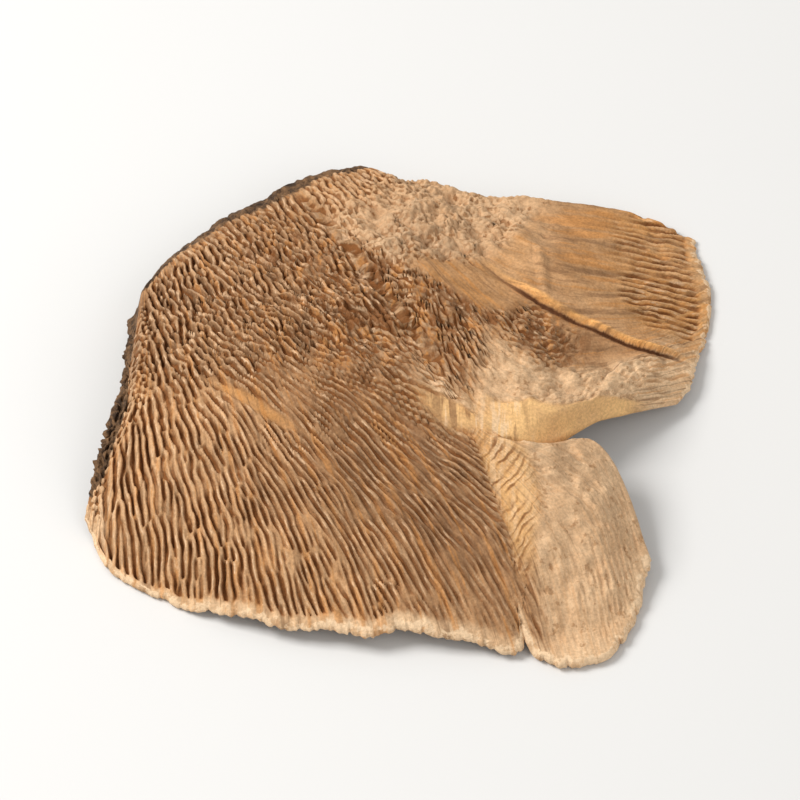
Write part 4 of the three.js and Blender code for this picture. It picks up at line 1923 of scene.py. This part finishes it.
    def gilled(self, board: Board, read: Readings) -> Socket:
        """Colour of the gilled side.

        The field's flesh varies softly from crest to dull, is led towards brown, pale and
        warm by their shares, and darkens into the valleys, partly as painted shade and partly
        as dust. The crust has pits and short upright fibres, the tangle flecks of amber and
        dark gaps, both darkened like the valleys, and scars cover the rest. Painted highlights
        lie on the fold's lip and along the crests, painted shadow under the lip, and painted
        shade and light follow the broad folds. The rim band's brighter colour is partly
        painted light.

        Args:
            board: The node board.
            read: What the colours are mixed by.

        Returns:
            The colour's socket.
        """
        flecked = board.step(read.mottle, 0.35, 0.65, -0.18, 0.18)
        loose = board.sum(board.step(read.clouds, 0.35, 0.65, -0.2, 0.2), flecked)
        ground = board.mix(board.sum(loose, 0.35), self.crest, self.dull)
        for share, full, flesh in (
            (read.brown, 0.75, self.brown),
            (read.pale, 0.85, self.pale),
            (read.warm, 0.7, self.warm),
            # rim band and wall: pale flesh, painted brighter still as painted light
            (read.rim, 0.8, self.clear),
            # painted highlight on the fold's lip
            (read.lip, 0.9, self.lit),
        ):
            ground = board.mix(board.times(share, board.sum(loose, full)), ground, flesh)
        calm = board.most(read.rough, read.rim)
        plain = board.step(board.most(calm, read.tangle), 1.0, 0.2)
        bands = board.noise(board.stretched(read.paths, (0.8, 0.04, 1.0)), detail=4.0, roughness=0.6)
        ground = board.mix(board.times(plain, board.step(bands, 0.52, 0.62), 0.55), ground, self.amber)
        ground = board.mix(board.times(plain, board.step(bands, 0.47, 0.38), 0.6), ground, self.brown)
        # Painted shade and light: the fibres' streaks darken the broad folds' troughs a little and lighten
        # their backs
        backs = board.step(read.broad, 0.1, 0.9, 0.88, 1.08)
        streak = board.times(board.step(read.fibres, 0.3, 0.7, 0.88, 1.1), backs)
        streak = board.times(board.math("SUBTRACT", streak, 1.0), board.step(calm, 0.0, 1.0, 1.0, 0.3))
        ground = board.scaled(ground, board.sum(streak, 1.0))
        ground = self.barred(board, read, ground)
        drawn = board.stretched(read.place, (420.0, 150.0, 300.0))
        splinters = board.noise(drawn, detail=4.0, roughness=0.65)
        torn = board.times(read.tangle, board.step(splinters, 0.5, 0.62))
        ground = board.mix(board.times(torn, 0.7), ground, self.amber)
        gaps = board.times(read.tangle, board.step(splinters, 0.47, 0.39))
        pits = board.times(read.rough, board.step(board.noise(read.place, 480.0, 3.0, 0.6), 0.41, 0.33))
        # Painted highlight along the crests, over their paler dry edges
        ground = board.mix(board.times(read.edge, 0.75), ground, self.glint)
        # Painted shade and dust: valleys, tangle gaps and crust pits darken towards the valley colour, the
        # deeper the gills the darker
        floor = board.mix(read.pale, self.valley, self.pale_valley)
        deep = board.most(read.hollow, board.times(board.most(gaps, pits), 0.85))
        colour = board.mix(deep, ground, floor)
        # Painted shadow in the line under the fold's lip and round the low bump's edge
        colour = board.mix(read.gutter, colour, self.shadow)
        along = board.add("ShaderNodeSeparateXYZ", {0: read.paths}).outputs[1]
        ragged = board.sum(along, board.times(flecked, 6.0))
        crumbs = board.step(ragged, self.crumbs_from, self.crumbs_from + self.crumbs_width)
        colour = board.mix(board.times(crumbs, 0.85), colour, self.cream)
        layered = board.stretched(read.place, (420.0, 420.0, 900.0))
        flakes = board.noise(layered, detail=6.0, roughness=0.7)
        dust = board.mix(board.step(flakes, 0.36, 0.66), self.scar, self.scar_dust)
        edge = board.step(board.sum(read.scar, flecked), 0.35, 0.6)
        return board.mix(edge, colour, dust)

    def barred(self, board: Board, read: Readings, ground: Socket) -> Socket:
        """Lays short pale and brown bars square to the rim band, over its end by the notch.

        Args:
            board: The node board.
            read: What the colours are mixed by.
            ground: The colour so far.

        Returns:
            The colour's socket.
        """
        east = board.add("ShaderNodeSeparateXYZ", {0: read.place}).outputs[0]
        full, end = self.bars_until
        here = board.times(read.rim, board.step(east, end, full))
        bars = board.noise(board.stretched(read.place, (520.0, 60.0, 60.0)), roughness=0.6)
        ground = board.mix(board.times(here, board.step(bars, 0.5, 0.58), 0.7), ground, self.cream)
        return board.mix(board.times(here, board.step(bars, 0.46, 0.38), 0.75), ground, self.brown)

    def capped(self, board: Board, read: Readings) -> Socket:
        """Colour of the cap side: buff with fibres, faint rings, stains and a dark foot.

        Args:
            board: The node board.
            read: What the colours are mixed by.

        Returns:
            The colour's socket.
        """
        wander = board.step(read.clouds, 0.3, 0.7, -1.2, 1.2)
        off = board.joined(wander, wander)
        bent = board.add("ShaderNodeVectorMath", {0: read.paths, 1: off}).outputs[0]
        fibre = board.noise(board.stretched(bent, (1.3, 0.03, 1.0)), detail=5.0, roughness=0.65)
        rings = board.noise(board.stretched(bent, (0.02, 0.16, 1.0)), detail=2.0)
        tone = board.sum(board.times(rings, 0.45), board.times(read.clouds, 0.55))
        colour = board.mix(board.step(tone, 0.36, 0.64), self.cap, self.cap_pale)
        colour = board.scaled(colour, board.step(fibre, 0.32, 0.68, 0.8, 1.1))
        blot = board.noise(read.place, 52.0, 6.0, 0.68)
        stain = board.times(board.step(blot, 0.58, 0.67), board.step(read.mottle, 0.35, 0.5), 0.8)
        colour = board.mix(stain, colour, self.cap_stain)
        speck = board.times(board.step(board.noise(read.place, 520.0, 2.0), 0.69, 0.74), 0.7)
        colour = board.mix(speck, colour, self.cap_stain)
        edge = board.step(board.sum(read.scar, read.clouds), 0.75, 0.95)
        return board.mix(edge, colour, self.scar)


@dataclass(frozen=True)
class Lamp:
    """A square soft light that faces the mushroom.

    Attributes:
        name: The light's name.
        azimuth: Degrees from the camera's side, positive to the right.
        elevation: Degrees over the horizon.
        distance: Distance from the mushroom, in metres.
        size: Side of the square, in metres.
        power: Power, in watts.
    """

    name: str
    azimuth: float
    elevation: float
    distance: float
    size: float
    power: float


@dataclass
class Studio:
    """Pale floor, soft lights and the camera.

    Attributes:
        elevation: The camera's height over the horizon, in degrees.
        aim: What the camera looks at, in metres.
        lens: Focal length, in millimetres.
        frame_width: How much of the subject's plane the picture spans, in metres.
        clip_start: How near the camera sees, in metres.
        floor_size: Side of the floor, in metres.
        floor_colour: The floor's colour, in linear light.
        floor_roughness: How dull the floor is.
        sensor: Width of the camera's sensor, in millimetres.
        room_strength: Brightness of the even light from all round.
        lamps: A key light from the left and behind, and a weak fill.
    """

    elevation: float = 55.0
    aim: tuple[float, float, float] = (0.0, -0.001, 0.010)
    lens: float = 600.0
    frame_width: float = 0.158
    floor_size: float = 3.0
    floor_colour: Colour = (0.68, 0.67, 0.65)
    floor_roughness: float = 0.9
    sensor: float = 36.0
    clip_start: float = 0.01
    room_strength: float = 0.55
    lamps: tuple[Lamp, ...] = (
        Lamp("key", -100.0, 50.0, 0.9, 0.4, 8.0),
        Lamp("fill", 50.0, 45.0, 1.2, 0.9, 3.0),
    )

    def place_camera(self) -> None:
        """Puts the camera in front, far enough back for the frame's width."""
        data = bpy.data.cameras.new("camera")
        data.lens = self.lens
        data.sensor_width = self.sensor
        data.clip_start = self.clip_start
        camera = bpy.data.objects.new("camera", data)
        bpy.context.scene.collection.objects.link(camera)
        distance = self.frame_width * self.lens / self.sensor
        rise = math.radians(self.elevation)
        x, y, z = self.aim
        camera.location = (x, y - distance * math.cos(rise), z + distance * math.sin(rise))
        camera.rotation_euler = (math.pi / 2.0 - rise, 0.0, 0.0)
        bpy.context.scene.camera = camera
        LOG.info("camera: %.0f degrees up, %.2f m away", self.elevation, distance)

    def lay_floor(self) -> None:
        """Lays a plain pale floor at the height that the mushroom rests on."""
        half = self.floor_size / 2.0
        corners = [(-half, -half, 0.0), (half, -half, 0.0), (half, half, 0.0), (-half, half, 0.0)]
        mesh = bpy.data.meshes.new("floor")
        mesh.from_pydata(corners, [], [(0, 1, 2, 3)])
        floor = bpy.data.objects.new("floor", mesh)
        bpy.context.scene.collection.objects.link(floor)
        material = bpy.data.materials.new("pale_paper")
        material.use_nodes = True
        shader = material.node_tree.nodes["Principled BSDF"]
        shader.inputs["Base Color"].default_value = (*self.floor_colour, 1.0)
        shader.inputs["Roughness"].default_value = self.floor_roughness
        mesh.materials.append(material)

    def hang(self, lamp: Lamp) -> None:
        """Hangs one lamp in its place.

        Args:
            lamp: The lamp.
        """
        data = bpy.data.lights.new(lamp.name, "AREA")
        data.size = lamp.size
        data.energy = lamp.power
        light = bpy.data.objects.new(lamp.name, data)
        turn, rise = math.radians(lamp.azimuth), math.radians(lamp.elevation)
        light.location = (
            lamp.distance * math.sin(turn) * math.cos(rise),
            -lamp.distance * math.cos(turn) * math.cos(rise),
            lamp.distance * math.sin(rise),
        )
        light.rotation_euler = (math.pi / 2.0 - rise, 0.0, turn)
        bpy.context.scene.collection.objects.link(light)

    def light_room(self) -> None:
        """Hangs the lamps and makes the room round them bright and even."""
        for lamp in self.lamps:
            self.hang(lamp)
        world = bpy.data.worlds.new("room")
        world.use_nodes = True
        background = world.node_tree.nodes["Background"]
        background.inputs["Color"].default_value = (1.0, 1.0, 1.0, 1.0)
        background.inputs["Strength"].default_value = self.room_strength
        bpy.context.scene.world = world

    def build(self) -> None:
        """Sets up the camera, the floor, the lights and how light becomes colour."""
        self.place_camera()
        self.lay_floor()
        self.light_room()
        bpy.context.scene.view_settings.view_transform = "Standard"


def main() -> None:
    """Builds the studio and the mushroom."""
    logging.basicConfig(level=logging.INFO, format="%(name)s: %(message)s")
    Studio().build()
    piece = Bracket().build()
    DriedFlesh().dress(piece)
    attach(piece, "root")
    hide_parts(NODE)
    LOG.info("mushroom: %s", piece.name)
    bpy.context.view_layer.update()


if __name__ == "__main__":
    main()
